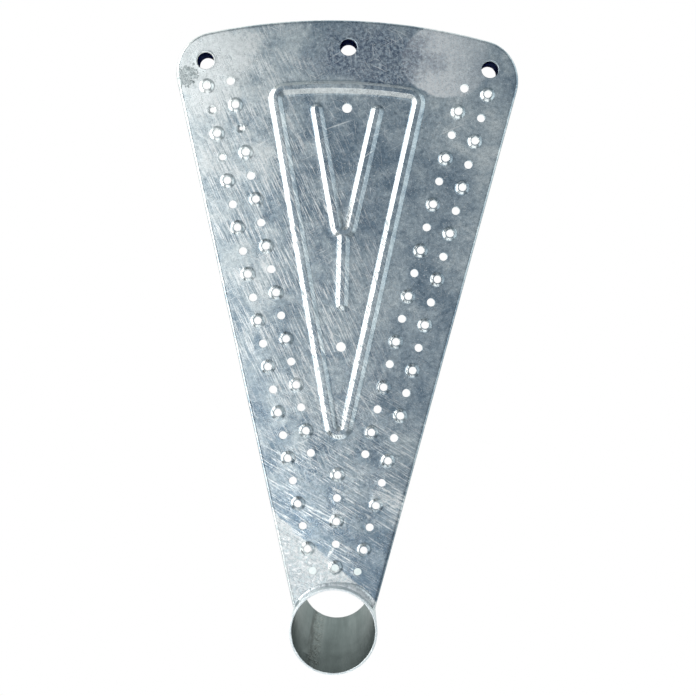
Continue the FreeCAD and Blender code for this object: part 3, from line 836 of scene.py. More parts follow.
class Tree:
    def __init__(self, name):
        self.mat = bpy.data.materials.new(name)
        self.mat.use_nodes = True
        self.nt = self.mat.node_tree
        self.nt.nodes.clear()
        self.out = self.nt.nodes.new("ShaderNodeOutputMaterial")
        self.bsdf = self.nt.nodes.new("ShaderNodeBsdfPrincipled")
        self.nt.links.new(self.bsdf.outputs[0], self.out.inputs[0])
        self.co = self.nt.nodes.new("ShaderNodeTexCoord").outputs["Object"]

    def link(self, a, b):
        self.nt.links.new(a, b)
        return b

    def put(self, socket, value):
        if isinstance(value, bpy.types.NodeSocket):
            self.nt.links.new(value, socket)
        elif value is not None:
            socket.default_value = value

    def math(self, op, a, b=None, c=None, clamp=False):
        n = self.nt.nodes.new("ShaderNodeMath")
        n.operation = op
        n.use_clamp = clamp
        self.put(n.inputs[0], a)
        if b is not None:
            self.put(n.inputs[1], b)
        if c is not None:
            self.put(n.inputs[2], c)
        return n.outputs[0]

    def vmath(self, op, a, b=None, scale=None):
        n = self.nt.nodes.new("ShaderNodeVectorMath")
        n.operation = op
        self.put(n.inputs[0], a)
        if b is not None:
            self.put(n.inputs[1], b)
        if scale is not None:
            self.put(n.inputs["Scale"], scale)
        return n.outputs["Value"] if op in ("DISTANCE", "LENGTH", "DOT_PRODUCT") else n.outputs[0]

    def noise(self, scale, detail=3.0, rough=0.55, co=None, distortion=0.0, color=False):
        n = self.nt.nodes.new("ShaderNodeTexNoise")
        n.inputs["Scale"].default_value = scale
        n.inputs["Detail"].default_value = detail
        n.inputs["Roughness"].default_value = rough
        n.inputs["Distortion"].default_value = distortion
        self.nt.links.new(co or self.co, n.inputs["Vector"])
        return n.outputs["Color"] if color else n.outputs["Fac"]

    def voronoi(self, scale, co=None, feature="F1"):
        n = self.nt.nodes.new("ShaderNodeTexVoronoi")
        n.feature = feature
        n.inputs["Scale"].default_value = scale
        self.nt.links.new(co or self.co, n.inputs["Vector"])
        return n.outputs

    def ranged(self, v, a, b, c=0.0, d=1.0, smoothstep=True):
        n = self.nt.nodes.new("ShaderNodeMapRange")
        n.interpolation_type = "SMOOTHSTEP" if smoothstep else "LINEAR"
        self.put(n.inputs["Value"], v)
        n.inputs["From Min"].default_value = a
        n.inputs["From Max"].default_value = b
        n.inputs["To Min"].default_value = c
        n.inputs["To Max"].default_value = d
        return n.outputs["Result"]

    def ramp(self, v, stops):
        n = self.nt.nodes.new("ShaderNodeValToRGB")
        fill_ramp(n.color_ramp, stops)
        self.put(n.inputs[0], v)
        return n.outputs[0]

    def mix(self, f, a, b, mode="MIX"):
        n = self.nt.nodes.new("ShaderNodeMix")
        n.data_type = "RGBA"
        n.blend_type = mode
        n.clamp_factor = True
        self.put(n.inputs[0], f)
        for s, v in ((n.inputs[6], a), (n.inputs[7], b)):
            if isinstance(v, tuple):
                s.default_value = (*v, 1.0)
            else:
                self.put(s, v)
        return n.outputs[2]

    def turned(self, angle, scale, offset=(0.0, 0.0, 0.0)):
        """Coordinates turned about Z, then stretched."""
        n = self.nt.nodes.new("ShaderNodeMapping")
        n.inputs["Rotation"].default_value = (0.0, 0.0, angle)
        m = self.nt.nodes.new("ShaderNodeMapping")
        m.inputs["Scale"].default_value = scale
        m.inputs["Location"].default_value = offset
        self.nt.links.new(self.co, n.inputs["Vector"])
        self.nt.links.new(n.outputs[0], m.inputs["Vector"])
        return m.outputs[0]

    def spot(self, x, y, rx, ry, wobble=0.25, soft=0.5, angle=0.0, frayed=False):
        """Mask 0..1 of an uneven patch centred at (x, y) metres."""
        n = self.nt.nodes.new("ShaderNodeMapping")
        n.vector_type = "TEXTURE"
        n.inputs["Location"].default_value = (x, y, 0.0)
        n.inputs["Rotation"].default_value = (0.0, 0.0, angle)
        n.inputs["Scale"].default_value = (rx, ry, 10.0)
        self.nt.links.new(self.co, n.inputs["Vector"])
        d = self.vmath("LENGTH", n.outputs[0])
        if not hasattr(self, "_edge"):
            a = self.noise(45.0, 5.0, 0.6)
            self._edge = self.math("SUBTRACT", a, 0.5)
        d = self.math("MULTIPLY_ADD", self._edge, wobble * 4.0, d)
        if frayed:
            d = self.math("MULTIPLY_ADD", self.math("SUBTRACT", self.noise(170.0, 3.0, 0.6), 0.5), 3.2, d)
        return self.ranged(d, 1.0 + soft / 2, 1.0 - soft / 2)


def zinc_plate():
    t = Tree("galvanised_plate")
    b = t.bsdf
    b.inputs["Metallic"].default_value = 1.0

    def grey(v):
        n = t.nt.nodes.new("ShaderNodeCombineColor")
        for k in range(3):
            t.link(v, n.inputs[k])
        return n.outputs[0]

    sep = t.nt.nodes.new("ShaderNodeSeparateXYZ")
    t.link(t.co, sep.inputs[0])
    px, py = sep.outputs[0], sep.outputs[1]

    # cloudy zinc: soft clouds, crisp-edged patches, mottling and grain
    big = t.noise(8.5, 4.0, 0.55, distortion=0.7)
    patch = t.noise(17.0, 5.0, 0.62, distortion=1.4)
    mid = t.noise(42.0, 6.0, 0.66, distortion=0.5)
    fine = t.noise(240.0, 4.0, 0.70)
    grain = t.noise(900.0, 3.0, 0.75)
    crisp = t.ranged(patch, 0.485, 0.515)
    crisp2 = t.ranged(t.noise(26.0, 5.0, 0.6, distortion=1.8), 0.545, 0.585)
    calm = t.ranged(t.math("MULTIPLY_ADD", px, 1.0, t.math("MULTIPLY", py, -0.12)), -0.055, 0.030)
    midc = t.math("SUBTRACT", mid, 0.5)
    midc = t.math("MULTIPLY", midc, t.math("MULTIPLY_ADD", calm, -0.22, 0.66))
    value = t.math("MULTIPLY_ADD", big, 0.75, t.math("ADD", midc, 0.195))
    value = t.math("MULTIPLY_ADD", crisp, 0.055, value)
    value = t.math("MULTIPLY_ADD", crisp2, 0.05, value)
    value = t.math("MULTIPLY_ADD", fine, 0.24, t.math("ADD", value, -0.062))
    # painted light: the colour is made a little lighter towards the left and along the left edge, where the key light
    # falls
    left = t.ranged(px, 0.02, -0.15, 0.0, 1.0)
    value = t.math("MULTIPLY_ADD", left, 0.03, value)
    edge = t.ranged(t.math("MULTIPLY_ADD", py, 0.2413, px), 0.000, -0.040)
    value = t.math("MULTIPLY_ADD", edge, 0.03, value)
    shoulder = t.spot(-0.135, 0.560, 0.052, 0.040, 0.35, 1.0, -0.3)
    value = t.math("MULTIPLY_ADD", shoulder, 0.30, value)
    inner = t.spot(0.0, 0.455, 0.060, 0.085, 0.25, 0.7)
    value = t.math("MULTIPLY_ADD", inner, -0.125, value)
    lower = t.ranged(py, 0.42, 0.14, 0.0, 1.0)
    value = t.math("MULTIPLY_ADD", lower, -0.125, value)
    for x, y, rx, ry, amount in ((0.060, 0.170, 0.034, 0.040, 0.07), (-0.012, 0.290, 0.026, 0.050, 0.05), (0.105, 0.330, 0.035, 0.120, -0.045), (-0.010, 0.500, 0.034, 0.035, -0.05), (0.150, 0.500, 0.022, 0.050, 0.04), (0.002, 0.215, 0.030, 0.020, 0.05), (0.120, 0.585, 0.040, 0.020, 0.07), (-0.142, 0.498, 0.027, 0.058, 0.17), (0.140, 0.440, 0.025, 0.080, 0.04), (0.040, 0.545, 0.022, 0.030, -0.05), (0.082, 0.235, 0.028, 0.065, 0.08), (-0.085, 0.230, 0.022, 0.045, 0.09)):
        value = t.math("MULTIPLY_ADD", t.spot(x, y, rx, ry, 0.35, 1.1), amount, value)
    colour = t.ramp(value, [(0.46, (0.20, 0.273, 0.345)), (0.58, (0.345, 0.42, 0.480)), (0.68, (0.475, 0.55, 0.595)), (0.80, (0.655, 0.715, 0.735)), (0.94, (0.88, 0.91, 0.90))])

    # patches of this coat of zinc
    pale = t.math("MULTIPLY", t.spot(0.097, 0.572, 0.043, 0.036, 0.08, 0.07), t.ranged(px, 0.160, 0.082))
    pale_speck = t.ranged(t.noise(420.0, 3.0, 0.7), 0.36, 0.60)
    colour = t.mix(t.math("MULTIPLY", pale, 0.96), colour, t.mix(pale_speck, (0.90, 0.95, 0.98), (1.0, 1.0, 1.0)))
    dark = t.spot(0.026, 0.574, 0.058, 0.030, 0.35, 0.8)
    speck = t.ranged(t.noise(300.0, 3.0, 0.75), 0.42, 0.60)
    colour = t.mix(t.math("MULTIPLY", dark, 0.75), colour, t.mix(speck, (0.065, 0.10, 0.18), (0.42, 0.50, 0.58)))
    flake = t.ranged(t.noise(260.0, 5.0, 0.75), 0.40, 0.58)
    # bright coat towards the sleeve, below a slanting edge
    slant = t.math("ADD", t.math("MULTIPLY", px, 0.650), t.math("MULTIPLY", py, 0.760))
    slant = t.math("MULTIPLY_ADD", t.math("SUBTRACT", t.noise(38.0, 5.0, 0.6), 0.5), 0.018, slant)
    below = t.ranged(slant, 0.0495, 0.0465)
    ridge = t.math("MULTIPLY", t.ranged(slant, 0.0445, 0.0480), below)
    deep = t.ranged(slant, -0.004, 0.036, 0.80, 1.0)
    colour = t.mix(t.math("MULTIPLY", below, t.math("MULTIPLY", deep, 0.90)), colour, t.mix(flake, (0.72, 0.79, 0.80), (1.0, 1.0, 0.99)))
    colour = t.mix(t.math("MULTIPLY", ridge, 0.7), colour, (0.95, 0.97, 0.97))
    shine = t.spot(0.055, 0.134, 0.017, 0.012, 0.45, 0.8, -0.5)
    crinkle = t.ranged(t.noise(1.0, 4.0, 0.7, co=t.turned(math.radians(20), (120.0, 420.0, 1.0))), 0.42, 0.56)
    colour = t.mix(t.math("MULTIPLY", shine, 0.9), colour, t.mix(crinkle, (0.42, 0.50, 0.55), (0.98, 1.0, 1.0)))
    dross = t.spot(-0.1590, 0.5490, 0.0062, 0.0125, 0.42, 0.16, -0.95, frayed=True)
    rim = t.spot(-0.1590, 0.5490, 0.0074, 0.0142, 0.42, 0.16, -0.95, frayed=True)
    lump = t.noise(330.0, 4.0, 0.75, distortion=1.2)
    colour = t.mix(t.math("MULTIPLY", t.math("SUBTRACT", rim, dross, clamp=True), 0.9), colour, (0.18, 0.21, 0.21))
    colour = t.mix(t.math("MULTIPLY", dross, 0.85), colour, t.mix(t.ranged(lump, 0.44, 0.53), (0.40, 0.45, 0.46), (0.86, 0.92, 0.91)))

    # brush marks, steep on the left and flatter towards the sleeve
    def marks(angle, offset, close=1.0):
        a = t.noise(1.0, 2.0, 0.55, co=t.turned(angle, (26.0, 420.0 * close, 1.0), offset))
        c = t.noise(1.0, 2.0, 0.60, co=t.turned(angle + 0.10, (42.0, 850.0 * close, 1.0), offset))
        return t.math("MULTIPLY_ADD", c, 0.62, t.math("MULTIPLY", a, 0.43))
    steep = marks(math.radians(60), (0.0, 0.0, 0.0))
    flat = marks(math.radians(27), (3.0, 5.0, 0.0), 1.35)
    m_steep = t.spot(-0.060, 0.370, 0.080, 0.200, 0.45, 1.1, 0.22)
    m_flat = t.spot(-0.005, 0.150, 0.090, 0.105, 0.45, 1.1)
    rarely = t.ranged(t.noise(22.0, 4.0, 0.6), 0.36, 0.54)
    s1 = t.math("MULTIPLY", t.ranged(steep, 0.545, 0.595), t.math("MULTIPLY", m_steep, rarely))
    s2 = t.math("MULTIPLY", t.ranged(flat, 0.560, 0.605), t.math("MULTIPLY", m_flat, rarely))
    light = t.math("MAXIMUM", s1, s2)
    d1 = t.math("MULTIPLY", t.ranged(steep, 0.485, 0.435), t.math("MULTIPLY", m_steep, rarely))
    d2 = t.math("MULTIPLY", t.ranged(flat, 0.485, 0.435), t.math("MULTIPLY", m_flat, rarely))
    darks = t.math("MAXIMUM", d1, d2)
    colour = t.mix(t.math("MULTIPLY", light, 0.90), colour, (0.985, 0.99, 0.975))
    colour = t.mix(t.math("MULTIPLY", darks, 0.60), colour, (0.20, 0.27, 0.32))
    # hairlines left by handling, in three loose directions
    hair = None
    for ang, sc, off, lo in ((0.95, 1300.0, 1.7, 0.665), (0.42, 1200.0, 6.1, 0.675), (-0.50, 1250.0, 9.3, 0.685), (1.45, 1300.0, 3.3, 0.68)):
        q = t.noise(1.0, 1.0, 0.5, co=t.turned(ang, (38.0, sc, 1.0), (off, off, 0.0)))
        q = t.ranged(q, lo, lo + 0.05)
        hair = q if hair is None else t.math("MAXIMUM", hair, q)
    hair = t.math("MULTIPLY", hair, t.ranged(big, 0.40, 0.60, 0.45, 1.0))
    hair = t.math("MULTIPLY", hair, t.math("MULTIPLY_ADD", calm, -0.55, 1.0))
    colour = t.mix(t.math("MULTIPLY", hair, 0.85), colour, (0.985, 0.99, 0.98))
    fleck = t.noise(640.0, 2.0, 0.6)
    colour = t.mix(t.math("MULTIPLY", t.ranged(fleck, 0.635, 0.685), 0.65), colour, (0.96, 0.96, 0.93))
    colour = t.mix(t.math("MULTIPLY", t.ranged(fleck, 0.335, 0.29), 0.55), colour, (0.13, 0.18, 0.22))
    # loose scratches
    scratches = None
    for x, y, length, width, turn in ((-0.140, 0.489, 0.011, 0.0007, -0.59), (-0.008, 0.506, 0.013, 0.0007, 0.36), (0.020, 0.475, 0.010, 0.0006, 0.7),
                                      (-0.098, 0.430, 0.022, 0.0006, -1.05), (0.105, 0.505, 0.012, 0.0007, 0.45), (-0.030, 0.245, 0.020, 0.0006, -0.9), (-0.062, 0.255, 0.024, 0.0006, -1.0), (0.030, 0.225, 0.016, 0.0006, -0.95), (-0.02, 0.120, 0.022, 0.0008, -0.42)):
        m = t.spot(x, y, length, width, 0.10, 0.9, turn)
        scratches = m if scratches is None else t.math("MAXIMUM", scratches, m)
    colour = t.mix(t.math("MULTIPLY", scratches, 0.7), colour, (0.92, 0.95, 0.95))
    smudge = t.math("SUBTRACT", t.spot(-0.071, 0.328, 0.026, 0.012, 0.15, 0.5), t.spot(-0.071, 0.3225, 0.026, 0.012, 0.15, 0.5), clamp=True)
    colour = t.mix(t.math("MULTIPLY", smudge, 0.55), colour, (0.86, 0.90, 0.89))
    # a zinc run below the middle drain; its bright and dark flecks are partly its own colour, partly a painted
    # highlight and shade of the raised run
    run = t.spot(-0.0050, 0.0775, 0.0062, 0.0018, 0.15, 0.4, 1.05)
    colour = t.mix(t.math("MULTIPLY", run, 0.8), colour, t.mix(flake, (0.30, 0.34, 0.36), (0.98, 1.0, 1.0)))
    # raised metal is lighter on its slopes, most on those facing left: partly rubbed wear, partly a painted highlight
    # of the light from the left; the outer bend gets a painted shade line
    pz = sep.outputs[2]
    facing = t.nt.nodes.new("ShaderNodeSeparateXYZ")
    t.link(t.nt.nodes.new("ShaderNodeNewGeometry").outputs["Normal"], facing.inputs[0])
    nz = facing.outputs[2]
    # painted highlight and wear: lighter colour on raised slopes, weaker on those facing right
    slope_wear_and_highlight = t.math("MULTIPLY", t.ranged(pz, 0.0003, 0.0010), t.ranged(nz, 0.965, 0.86))
    slope_wear_and_highlight = t.math("MULTIPLY", slope_wear_and_highlight, t.ranged(facing.outputs[0], 0.30, 0.02, 0.22, 1.0))
    colour = t.mix(t.math("MULTIPLY", slope_wear_and_highlight, 0.72), colour, (0.97, 0.97, 0.95))
    scuff = t.noise(1.0, 3.0, 0.65, co=t.turned(math.radians(62), (150.0, 620.0, 1.0), (7.0, 2.0, 0.0)))
    scuff = t.math("MULTIPLY", t.ranged(scuff, 0.49, 0.56), t.ranged(py, 0.47, 0.40))
    colour = t.mix(t.math("MULTIPLY", t.math("MULTIPLY", slope_wear_and_highlight, scuff), 0.85), colour, (0.13, 0.155, 0.17))
    # painted shade: a dark line along the outer bend of the fold
    bend_shade = t.math("MULTIPLY", t.ranged(pz, -0.0011, -0.0022), t.ranged(nz, 0.03, 0.12))
    colour = t.mix(t.math("MULTIPLY", bend_shade, 0.75), colour, (0.15, 0.18, 0.20))
    gv = t.math("MULTIPLY_ADD", fine, 0.90, t.math("MULTIPLY_ADD", grain, 1.20, -0.05))
    colour = t.mix(1.0, colour, grey(gv), "MULTIPLY")
    t.link(colour, b.inputs["Base Color"])

    rough = t.math("MULTIPLY_ADD", mid, 0.26, 0.12)
    rough = t.math("MULTIPLY_ADD", pale, 0.10, rough)
    rough = t.math("MULTIPLY_ADD", below, 0.04, rough)
    rough = t.math("MULTIPLY_ADD", dross, 0.20, rough)
    rough = t.math("MULTIPLY_ADD", fine, 0.08, rough, clamp=True)
    t.link(rough, b.inputs["Roughness"])

    h = t.math("MULTIPLY", fine, 0.30)
    h = t.math("MULTIPLY_ADD", grain, 0.08, h)
    h = t.math("MULTIPLY_ADD", mid, 0.9, h)
    both_marks = t.math("MAXIMUM", t.math("MULTIPLY", steep, m_steep), t.math("MULTIPLY", flat, m_flat))
    h = t.math("MULTIPLY_ADD", both_marks, 0.45, h)
    h = t.math("MULTIPLY_ADD", t.math("MULTIPLY", lump, dross), 1.6, h)
    h = t.math("MULTIPLY_ADD", t.math("MULTIPLY", flake, below), 0.35, h)
    h = t.math("MULTIPLY_ADD", t.math("MULTIPLY", crinkle, shine), 0.6, h)
    bump = t.nt.nodes.new("ShaderNodeBump")
    bump.inputs["Strength"].default_value = 0.5
    bump.inputs["Distance"].default_value = 0.0005
    t.link(h, bump.inputs["Height"])
    t.link(bump.outputs[0], b.inputs["Normal"])
    return t.mat


def zinc_tube():
    t = Tree("galvanised_tube")
    b = t.bsdf
    b.inputs["Metallic"].default_value = 1.0
    # long runs down the tube
    n = t.nt.nodes.new("ShaderNodeMapping")
    n.inputs["Scale"].default_value = (1.0, 1.0, 0.08)
    t.link(t.co, n.inputs["Vector"])
    streak = t.noise(240.0, 4.0, 0.6, co=n.outputs[0])
    wide = t.noise(60.0, 3.0, 0.5, co=n.outputs[0])
    mott = t.noise(55.0, 5.0, 0.6)
    fine = t.noise(420.0, 3.0, 0.6)
    sep = t.nt.nodes.new("ShaderNodeSeparateXYZ")
    t.link(t.co, sep.inputs[0])
    flat = t.nt.nodes.new("ShaderNodeCombineXYZ")
    t.link(sep.outputs[0], flat.inputs[0])
    t.link(sep.outputs[1], flat.inputs[1])
    radius = t.vmath("LENGTH", flat.outputs[0])
    bore = t.ranged(radius, 0.0427, 0.0423)                    # 1 in the bore
    cloud = t.math("MULTIPLY_ADD", streak, 0.5, t.math("MULTIPLY", wide, 0.5))
    # the bore gets a dark colour: partly duller zinc, partly painted shade inside the tube
    inside = t.ramp(cloud, [(0.34, (0.090, 0.122, 0.118)), (0.5, (0.150, 0.187, 0.184)), (0.66, (0.25, 0.288, 0.284))])
    # painted reflection: the outer wall is near-white on the side under the plate, where the holes show it, and darker
    # on the open side
    outside = t.ramp(t.math("MULTIPLY_ADD", mott, 0.6, t.math("MULTIPLY", streak, 0.4)), [(0.36, (0.76, 0.81, 0.83)), (0.52, (0.88, 0.92, 0.93)), (0.68, (0.97, 0.98, 0.98))])
    outside = t.mix(t.ranged(sep.outputs[1], 0.010, 0.034), t.mix(0.62, outside, (0.30, 0.34, 0.37)), outside)
    colour = t.mix(bore, outside, inside)
    # painted highlight: the top of the rim is coloured lighter
    rim = t.ranged(sep.outputs[2], 0.0112, 0.0118)
    colour = t.mix(rim, colour, t.mix(t.ranged(fine, 0.35, 0.65), (0.82, 0.88, 0.90), (0.98, 1.0, 1.0)))
    # speckled strip along the tube's own seam
    a = math.radians(SEAM_DEG)
    sx, sy = 0.0421 * math.cos(a), 0.0421 * math.sin(a)
    off = t.nt.nodes.new("ShaderNodeVectorMath")
    off.operation = "DISTANCE"
    t.link(flat.outputs[0], off.inputs[0])
    off.inputs[1].default_value = (sx, sy, 0.0)
    seam = t.ranged(off.outputs["Value"], 0.0085, 0.0030)
    nz = t.nt.nodes.new("ShaderNodeMapping")
    nz.inputs["Scale"].default_value = (1.0, 1.0, 0.45)
    t.link(t.co, nz.inputs["Vector"])
    dots = t.ranged(t.noise(1150.0, 4.0, 0.75, co=nz.outputs[0]), 0.42, 0.60)
    broken = t.ranged(t.noise(130.0, 3.0, 0.6), 0.38, 0.60)
    seam = t.math("MULTIPLY", seam, t.math("MULTIPLY", broken, t.math("MULTIPLY_ADD", bore, 0.8, 0.2)))
    beside = t.nt.nodes.new("ShaderNodeVectorMath")
    beside.operation = "DISTANCE"
    t.link(flat.outputs[0], beside.inputs[0])
    a -= math.radians(9.0)
    beside.inputs[1].default_value = (0.0421 * math.cos(a), 0.0421 * math.sin(a), 0.0)
    burnt = t.math("MULTIPLY", t.ranged(beside.outputs["Value"], 0.0046, 0.0018), t.math("MULTIPLY", bore, t.ranged(streak, 0.36, 0.56)))
    colour = t.mix(t.math("MULTIPLY", burnt, 0.75), colour, (0.035, 0.048, 0.043))
    colour = t.mix(t.math("MULTIPLY", seam, 0.85), colour, t.mix(dots, (0.06, 0.078, 0.070), (0.42, 0.46, 0.44)))
    t.link(colour, b.inputs["Base Color"])
    rough = t.math("MULTIPLY_ADD", streak, 0.25, 0.24)
    rough = t.math("MULTIPLY_ADD", mott, 0.15, rough, clamp=True)
    t.link(rough, b.inputs["Roughness"])
    h = t.math("MULTIPLY_ADD", streak, 0.7, t.math("MULTIPLY", fine, 0.35))
    h = t.math("MULTIPLY_ADD", t.math("MULTIPLY", dots, seam), 0.6, h)
    bump = t.nt.nodes.new("ShaderNodeBump")
    bump.inputs["Strength"].default_value = 0.5
    bump.inputs["Distance"].default_value = 0.0005
    t.link(h, bump.inputs["Height"])
    t.link(bump.outputs[0], b.inputs["Normal"])
    return t.mat


def zinc_weld():
    t = Tree("galvanised_weld")
    b = t.bsdf
    b.inputs["Metallic"].default_value = 1.0
    mott = t.noise(120.0, 5.0, 0.65)
    fine = t.noise(700.0, 3.0, 0.6)
    colour = t.ramp(t.math("MULTIPLY_ADD", fine, 0.4, t.math("MULTIPLY", mott, 0.6)), [(0.36, (0.56, 0.61, 0.64)), (0.5, (0.82, 0.86, 0.88)), (0.64, (0.97, 0.98, 0.98))])
    t.link(colour, b.inputs["Base Color"])
    t.link(t.math("MULTIPLY_ADD", mott, 0.35, 0.22, clamp=True), b.inputs["Roughness"])
    bump = t.nt.nodes.new("ShaderNodeBump")
    bump.inputs["Strength"].default_value = 0.6
    bump.inputs["Distance"].default_value = 0.0006
    t.link(t.math("MULTIPLY_ADD", fine, 0.5, mott), bump.inputs["Height"])
    t.link(bump.outputs[0], b.inputs["Normal"])
    return t.mat


def zinc_bush():
    t = Tree("galvanised_bush")
    b = t.bsdf
    b.inputs["Metallic"].default_value = 1.0
    # painted shade: the bush's reflections are tinted dark, to keep the bores dark
    b.inputs["Specular Tint"].default_value = (0.15, 0.17, 0.26, 1.0)
    n = t.nt.nodes.new("ShaderNodeMapping")
    n.inputs["Scale"].default_value = (1.0, 1.0, 6.0)
    t.link(t.co, n.inputs["Vector"])
    rings = t.noise(330.0, 3.0, 0.6, co=n.outputs[0])
    mott = t.noise(90.0, 4.0, 0.6)
    colour = t.ramp(t.math("MULTIPLY_ADD", rings, 0.5, t.math("MULTIPLY", mott, 0.5)), [(0.38, (0.28, 0.31, 0.34)), (0.52, (0.42, 0.46, 0.49)), (0.66, (0.60, 0.64, 0.66))])
    # inside the bores the colour is made nearly black: painted shade in the deep bores
    sep = t.nt.nodes.new("ShaderNodeSeparateXYZ")
    t.link(t.co, sep.inputs[0])
    flat = t.nt.nodes.new("ShaderNodeCombineXYZ")
    t.link(sep.outputs[0], flat.inputs[0])
    t.link(sep.outputs[1], flat.inputs[1])
    near = None
    for c in balusters.values():
        q = t.vmath("DISTANCE", flat.outputs[0], (c[0] * MM, c[1] * MM, 0.0))
        near = q if near is None else t.math("MINIMUM", near, q)
    bore = t.ranged(near, 0.0090, 0.0086)
    colour = t.mix(bore, colour, t.mix(t.ranged(mott, 0.35, 0.65), (0.010, 0.013, 0.028), (0.038, 0.044, 0.070)))
    t.link(colour, b.inputs["Base Color"])
    t.link(t.math("MULTIPLY_ADD", rings, 0.25, 0.26, clamp=True), b.inputs["Roughness"])
    bump = t.nt.nodes.new("ShaderNodeBump")
    bump.inputs["Strength"].default_value = 0.4
    bump.inputs["Distance"].default_value = 0.0004
    t.link(t.math("MULTIPLY_ADD", rings, 0.5, mott), bump.inputs["Height"])
    t.link(bump.outputs[0], b.inputs["Normal"])
    return t.mat


mat_plate, mat_tube, mat_weld, mat_bush = zinc_plate(), zinc_tube(), zinc_weld(), zinc_bush()
build_plate(mat_plate)
build_tube(mat_tube)
build_hub_welds(mat_weld)
build_flange_welds(mat_weld)
build_bushes(mat_bush, mat_weld)

# CAD nodes stay in the row for collision; they carry the same finishes
for name, ob in nodes.items():
    m = mat_plate if name == "tread_plate" else mat_tube if name == "hub_tube" else mat_bush if "bush_" in name and "weld" not in name else mat_weld
    ob.data.materials.clear()
    ob.data.materials.append(m)


# ---------------------------------------------------------------------------
# Stage: pale floor and backdrop, soft studio light, camera
# ---------------------------------------------------------------------------
def stage_material(name, strength, one_sided):
    m = bpy.data.materials.new(name)
    m.use_nodes = True
    nt = m.node_tree
    nt.nodes.clear()
    out = nt.nodes.new("ShaderNodeOutputMaterial")
    em = nt.nodes.new("ShaderNodeEmission")
    em.inputs["Color"].default_value = (1.0, 1.0, 1.0, 1.0)
    em.inputs["Strength"].default_value = strength
    if one_sided:
        tr = nt.nodes.new("ShaderNodeBsdfTransparent")
        geo = nt.nodes.new("ShaderNodeNewGeometry")
        mix = nt.nodes.new("ShaderNodeMixShader")
        nt.links.new(geo.outputs["Backfacing"], mix.inputs[0])
        nt.links.new(em.outputs[0], mix.inputs[1])
        nt.links.new(tr.outputs[0], mix.inputs[2])
        nt.links.new(mix.outputs[0], out.inputs[0])
    else:
        nt.links.new(em.outputs[0], out.inputs[0])
    return m


def plain_mesh(name, verts, faces, material):
    me = bpy.data.meshes.new(name)
    me.from_pydata(verts, [], faces)
    me.update()
    me.materials.append(material)
    ob = bpy.data.objects.new(name, me)
    bpy.context.scene.collection.objects.link(ob)
    return ob


floor_z = -0.160
S = 6.0
floor = plain_mesh("floor", [(-S, -S, floor_z), (S, -S, floor_z), (S, S, floor_z), (-S, S, floor_z)], [(0, 1, 2, 3)], stage_material("pale_floor", 1.0, True))
B = 14.0
bv = [(x, y, z) for z in (-B, B) for y in (-B, B) for x in (-B, B)]
backdrop = plain_mesh("backdrop", bv, [(0, 1, 3, 2), (4, 6, 7, 5), (0, 4, 5, 1), (2, 3, 7, 6), (0, 2, 6, 4), (1, 5, 7, 3)], stage_material("pale_backdrop", 1.0, False))
for ob in (floor, backdrop):
    ob.visible_diffuse = False
    ob.visible_glossy = False
    ob.visible_transmission = False
    ob.visible_shadow = False

world = bpy.data.worlds.new("studio")
world.use_nodes = True
wt = world.node_tree
bg = wt.nodes["Background"]
bg.inputs["Strength"].default_value = 1.0
wco = wt.nodes.new("ShaderNodeTexCoord")
wsep = wt.nodes.new("ShaderNodeSeparateXYZ")
wramp = wt.nodes.new("ShaderNodeValToRGB")
wmap = wt.nodes.new("ShaderNodeMapRange")
wmap.inputs["From Min"].default_value = -1.0
wmap.inputs["From Max"].default_value = 1.0
fill_ramp(wramp.color_ramp, [(0.0, (1.02, 1.08, 1.06)), (0.44, (0.93, 1.0, 0.98)), (0.49, (0.60, 0.67, 0.69)), (0.54, (0.22, 0.26, 0.28)), (0.84, (0.25, 0.28, 0.30)), (0.95, (0.46, 0.49, 0.51)), (1.0, (0.515, 0.54, 0.56))])
wt.links.new(wco.outputs["Generated"], wsep.inputs[0])
wt.links.new(wsep.outputs[2], wmap.inputs["Value"])
wt.links.new(wmap.outputs[0], wramp.inputs[0])
wt.links.new(wramp.outputs[0], bg.inputs["Color"])
bpy.context.scene.world = world


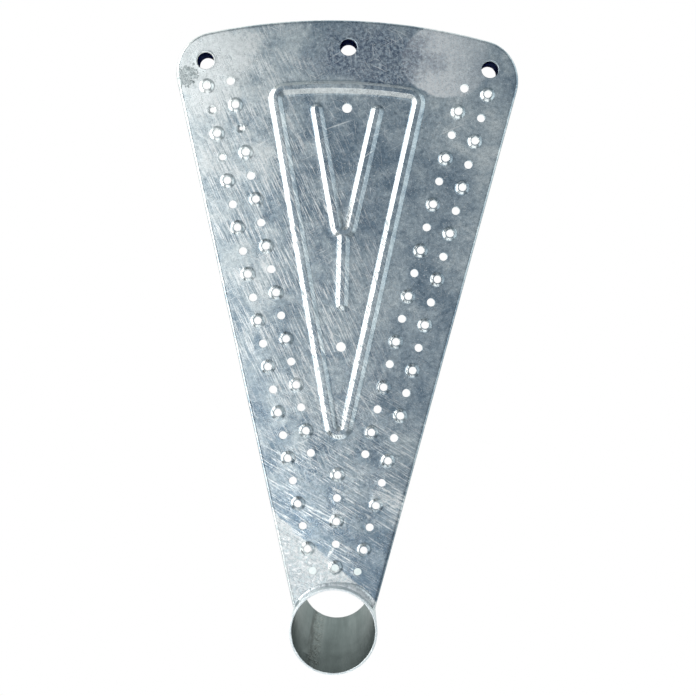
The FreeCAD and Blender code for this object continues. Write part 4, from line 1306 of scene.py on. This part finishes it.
def softbox(name, at, to, w, h, radiance, colour, roll=None):
    """Rectangular soft light; radiance is its brightness as seen, whatever its size."""
    li = bpy.data.lights.new(name, "AREA")
    li.shape = "RECTANGLE"
    li.size, li.size_y = w, h
    li.energy = radiance * math.pi * w * h
    li.color = colour
    ob = bpy.data.objects.new(name, li)
    ob.location = at
    ob.rotation_mode = "QUATERNION"
    if roll is None:
        ob.rotation_quaternion = (Vector(to) - Vector(at)).to_track_quat("-Z", "Y")
    else:
        ob.rotation_quaternion = Matrix.Rotation(math.radians(roll), 3, "Z").to_quaternion()
    ob.visible_camera = False
    bpy.context.scene.collection.objects.link(ob)
    return ob


softbox("key_left", (-1.60, 0.66, 0.32), (0.0, 0.48, 0.0), 3.0, 1.00, 3.0, (1.0, 1.0, 0.97))
softbox("fill_right", (1.75, 0.80, 0.30), (0.0, 0.45, 0.0), 2.9, 0.95, 0.90, (0.92, 0.99, 1.0))
softbox("front", (0.0, -1.50, 0.40), (0.0, 0.30, 0.0), 2.2, 1.1, 1.25, (0.97, 1.0, 0.99))
softbox("back", (0.0, 2.30, 0.20), (0.0, 0.30, 0.0), 2.4, 0.50, 0.30, (0.96, 1.0, 0.99))
softbox("over_left", (-0.62, 0.46, 1.60), None, 0.62, 2.5, 0.85, (0.95, 0.99, 1.0), roll=13.3)
softbox("over_front", (-0.21, -0.36, 1.56), None, 0.26, 0.25, 2.6, (1.0, 1.0, 0.99), roll=0.0)
softbox("front_high", (0.0, -1.0, 1.45), (0.0, 0.45, 0.0), 1.6, 0.60, 0.44, (0.98, 1.0, 0.99))

cam = bpy.data.cameras.new("camera")
cam.sensor_width = 36.0
cam.sensor_fit = "HORIZONTAL"
cam.lens = 720.0 / 696.0 * 36.0
cam.shift_x = -(359.82477 - 348.0) / 696.0
cam.shift_y = (405.00621 - 348.0) / 696.0
cam.clip_start, cam.clip_end = 0.01, 100.0
cam_ob = bpy.data.objects.new("camera", cam)
bpy.context.scene.collection.objects.link(cam_ob)
turn = Vector((0.04211, 0.00957, -0.02665))
cam_ob.matrix_world = Matrix.Translation(Vector((13.33121, 258.87984, 725.68369)) * MM) @ Matrix.Rotation(-turn.length, 4, turn.normalized())
bpy.context.scene.camera = cam_ob

bpy.context.scene.view_settings.view_transform = "Standard"
bpy.context.scene.view_settings.look = "None"

bpy.context.view_layer.update()
